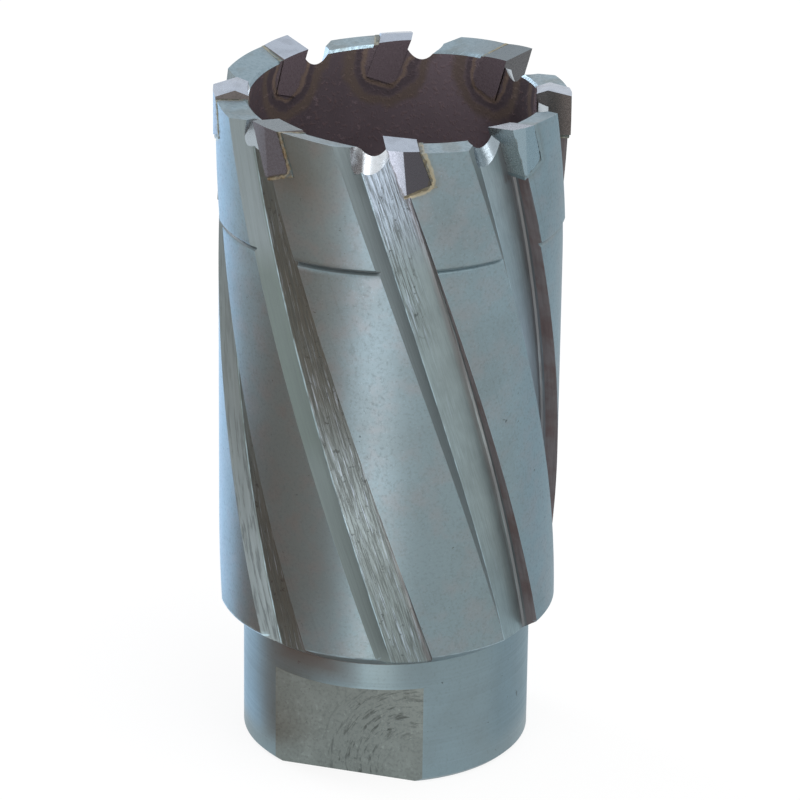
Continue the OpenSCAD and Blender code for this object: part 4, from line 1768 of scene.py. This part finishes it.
def studio_world(studio):
    """A white surround for the camera and for reflections, and a softer one for the light."""
    world = bpy.data.worlds.new("studio surround")
    bpy.context.scene.world = world
    tree = empty_tree(world)
    seen = seen_directly(tree)
    strength = node(tree, "ShaderNodeMapRange")
    tree.links.new(seen, strength.inputs["Value"])
    strength.inputs["To Min"].default_value = SURROUND_LIGHT
    strength.inputs["To Max"].default_value = 1.0
    surround = node(tree, "ShaderNodeBackground")
    surround.inputs["Color"].default_value = (*studio, 1.0)
    tree.links.new(strength.outputs["Result"], surround.inputs["Strength"])
    output = node(tree, "ShaderNodeOutputWorld")
    tree.links.new(surround.outputs[0], output.inputs["Surface"])


def floor_material(studio):
    """A pale floor that shows white to the camera and keeps a soft shadow."""
    material = bpy.data.materials.new("studio floor")
    tree = empty_tree(material)
    seen = seen_directly(tree)
    matt = node(tree, "ShaderNodeBsdfDiffuse")
    matt.inputs["Color"].default_value = (*shade(studio, FLOOR_SHADE), 1.0)
    glow = node(tree, "ShaderNodeEmission")
    glow.inputs["Color"].default_value = (*studio, 1.0)
    mix = node(tree, "ShaderNodeMixShader")
    tree.links.new(math_node(tree, "MULTIPLY", seen, FLOOR_GLOW), mix.inputs[0])
    tree.links.new(matt.outputs[0], mix.inputs[1])
    tree.links.new(glow.outputs[0], mix.inputs[2])
    output = node(tree, "ShaderNodeOutputMaterial")
    tree.links.new(mix.outputs[0], output.inputs["Surface"])
    return material


def floor_card(name, tone, strength, start, finish, near, far):
    """A card that only reflections see, laid on the floor before the side that faces between two angles."""
    points = []
    for a in spread(start, finish, CARD_STEPS):
        side = polar(CARD_SIDE, a - 90.0)
        for away in (near, far):
            points.append((*(side + polar(away, 2.0 * a - 90.0)), CARD_HEIGHT))
    faces = [(2 * k, 2 * k + 1, 2 * k + 3, 2 * k + 2) for k in range(CARD_STEPS - 1)]
    thing = new_object(name, mesh_of(name, points, faces))
    material = bpy.data.materials.new(name)
    tree = empty_tree(material)
    glow = node(tree, "ShaderNodeEmission")
    glow.inputs["Color"].default_value = (*tone, 1.0)
    glow.inputs["Strength"].default_value = strength
    output = node(tree, "ShaderNodeOutputMaterial")
    tree.links.new(glow.outputs[0], output.inputs["Surface"])
    thing.data.materials.append(material)
    thing.visible_camera = False
    thing.visible_diffuse = False
    thing.visible_shadow = False


def lamp(name, place, aim, size, power, tone):
    """A soft square lamp that looks at a point."""
    light = bpy.data.lights.new(name, "AREA")
    light.size = size
    light.energy = power
    light.color = tone
    thing = bpy.data.objects.new(name, light)
    thing.location = place
    thing.rotation_euler = (Vector(aim) - Vector(place)).to_track_quat("-Z", "Y").to_euler()
    bpy.context.scene.collection.objects.link(thing)


def photo_camera():
    """The camera at the photograph's viewing angle."""
    fall, roll = math.radians(VIEW_FALL), math.radians(VIEW_ROLL)
    ahead = Vector((0, math.cos(fall), -math.sin(fall)))
    right = Vector((1, 0, 0))
    up = Vector((0, math.sin(fall), math.cos(fall)))
    across = right * math.cos(roll) + up * math.sin(roll)
    top = up * math.cos(roll) - right * math.sin(roll)
    data = bpy.data.cameras.new("photo camera")
    data.sensor_width = SENSOR
    data.lens = SENSOR * PHOTO_FOCUS / PHOTO_WIDTH
    data.clip_start = 0.01
    data.clip_end = 50.0
    thing = bpy.data.objects.new("photo camera", data)
    turn = Matrix((across, top, -ahead)).transposed().to_4x4()
    thing.matrix_world = Matrix.Translation(Vector(VIEW_MIDDLE) - ahead * VIEW_AWAY) @ turn
    bpy.context.scene.collection.objects.link(thing)
    bpy.context.scene.camera = thing


class CUTTER_OT_stage(bpy.types.Operator):
    """Builds the floor, the surround, the lamps, the cards and the camera"""

    bl_idname = "cutter.stage"
    bl_label = "Build stage"

    def execute(self, context):
        studio = tuple(context.scene.cutter_colours.studio)
        context.scene.view_settings.view_transform = "Standard"
        studio_world(studio)
        reach = 4000.0
        floor = new_object(
            "studio_floor",
            mesh_of(
                "studio_floor",
                [(-reach, -reach, 0), (reach, -reach, 0), (reach, reach, 0), (-reach, reach, 0)],
                [(0, 1, 2, 3)],
            ),
        )
        floor.data.materials.append(floor_material(studio))
        for name, values in CARDS.items():
            floor_card(name, *values)
        for name, values in LAMPS.items():
            lamp(name, *values)
        photo_camera()
        return {"FINISHED"}


class CUTTER_PT_panel(bpy.types.Panel):
    """Sizes, colours and build steps of the cutter"""

    bl_idname = "CUTTER_PT_panel"
    bl_label = "Annular cutter"
    bl_space_type = "VIEW_3D"
    bl_region_type = "UI"
    bl_category = "Cutter"

    def draw(self, context):
        layout = self.layout
        for step in (CUTTER_OT_body, CUTTER_OT_tips, CUTTER_OT_braze, CUTTER_OT_stage):
            layout.operator(step.bl_idname)
        groups = (("Sizes", context.scene.cutter_sizes), ("Colours", context.scene.cutter_colours))
        for title, group in groups:
            box = layout.box()
            box.label(text=title)
            for name in group.__annotations__:
                box.prop(group, name)


CLASSES = (
    CutterSizes, CutterColours,
    CUTTER_OT_body, CUTTER_OT_tips, CUTTER_OT_braze, CUTTER_OT_stage, CUTTER_PT_panel,
)


def register():
    """Adds the classes and the cutter's settings to the scene."""
    for kind in CLASSES:
        bpy.utils.register_class(kind)
    bpy.types.Scene.cutter_sizes = PointerProperty(type=CutterSizes)
    bpy.types.Scene.cutter_colours = PointerProperty(type=CutterColours)


def unregister():
    """Removes the settings and the classes."""
    del bpy.types.Scene.cutter_colours
    del bpy.types.Scene.cutter_sizes
    for kind in reversed(CLASSES):
        bpy.utils.unregister_class(kind)


def main():
    """Builds every piece and the stage."""
    register()
    bpy.ops.cutter.body()
    bpy.ops.cutter.tips()
    bpy.ops.cutter.braze()
    bpy.ops.cutter.stage()


if __name__ == "__main__":
    main()
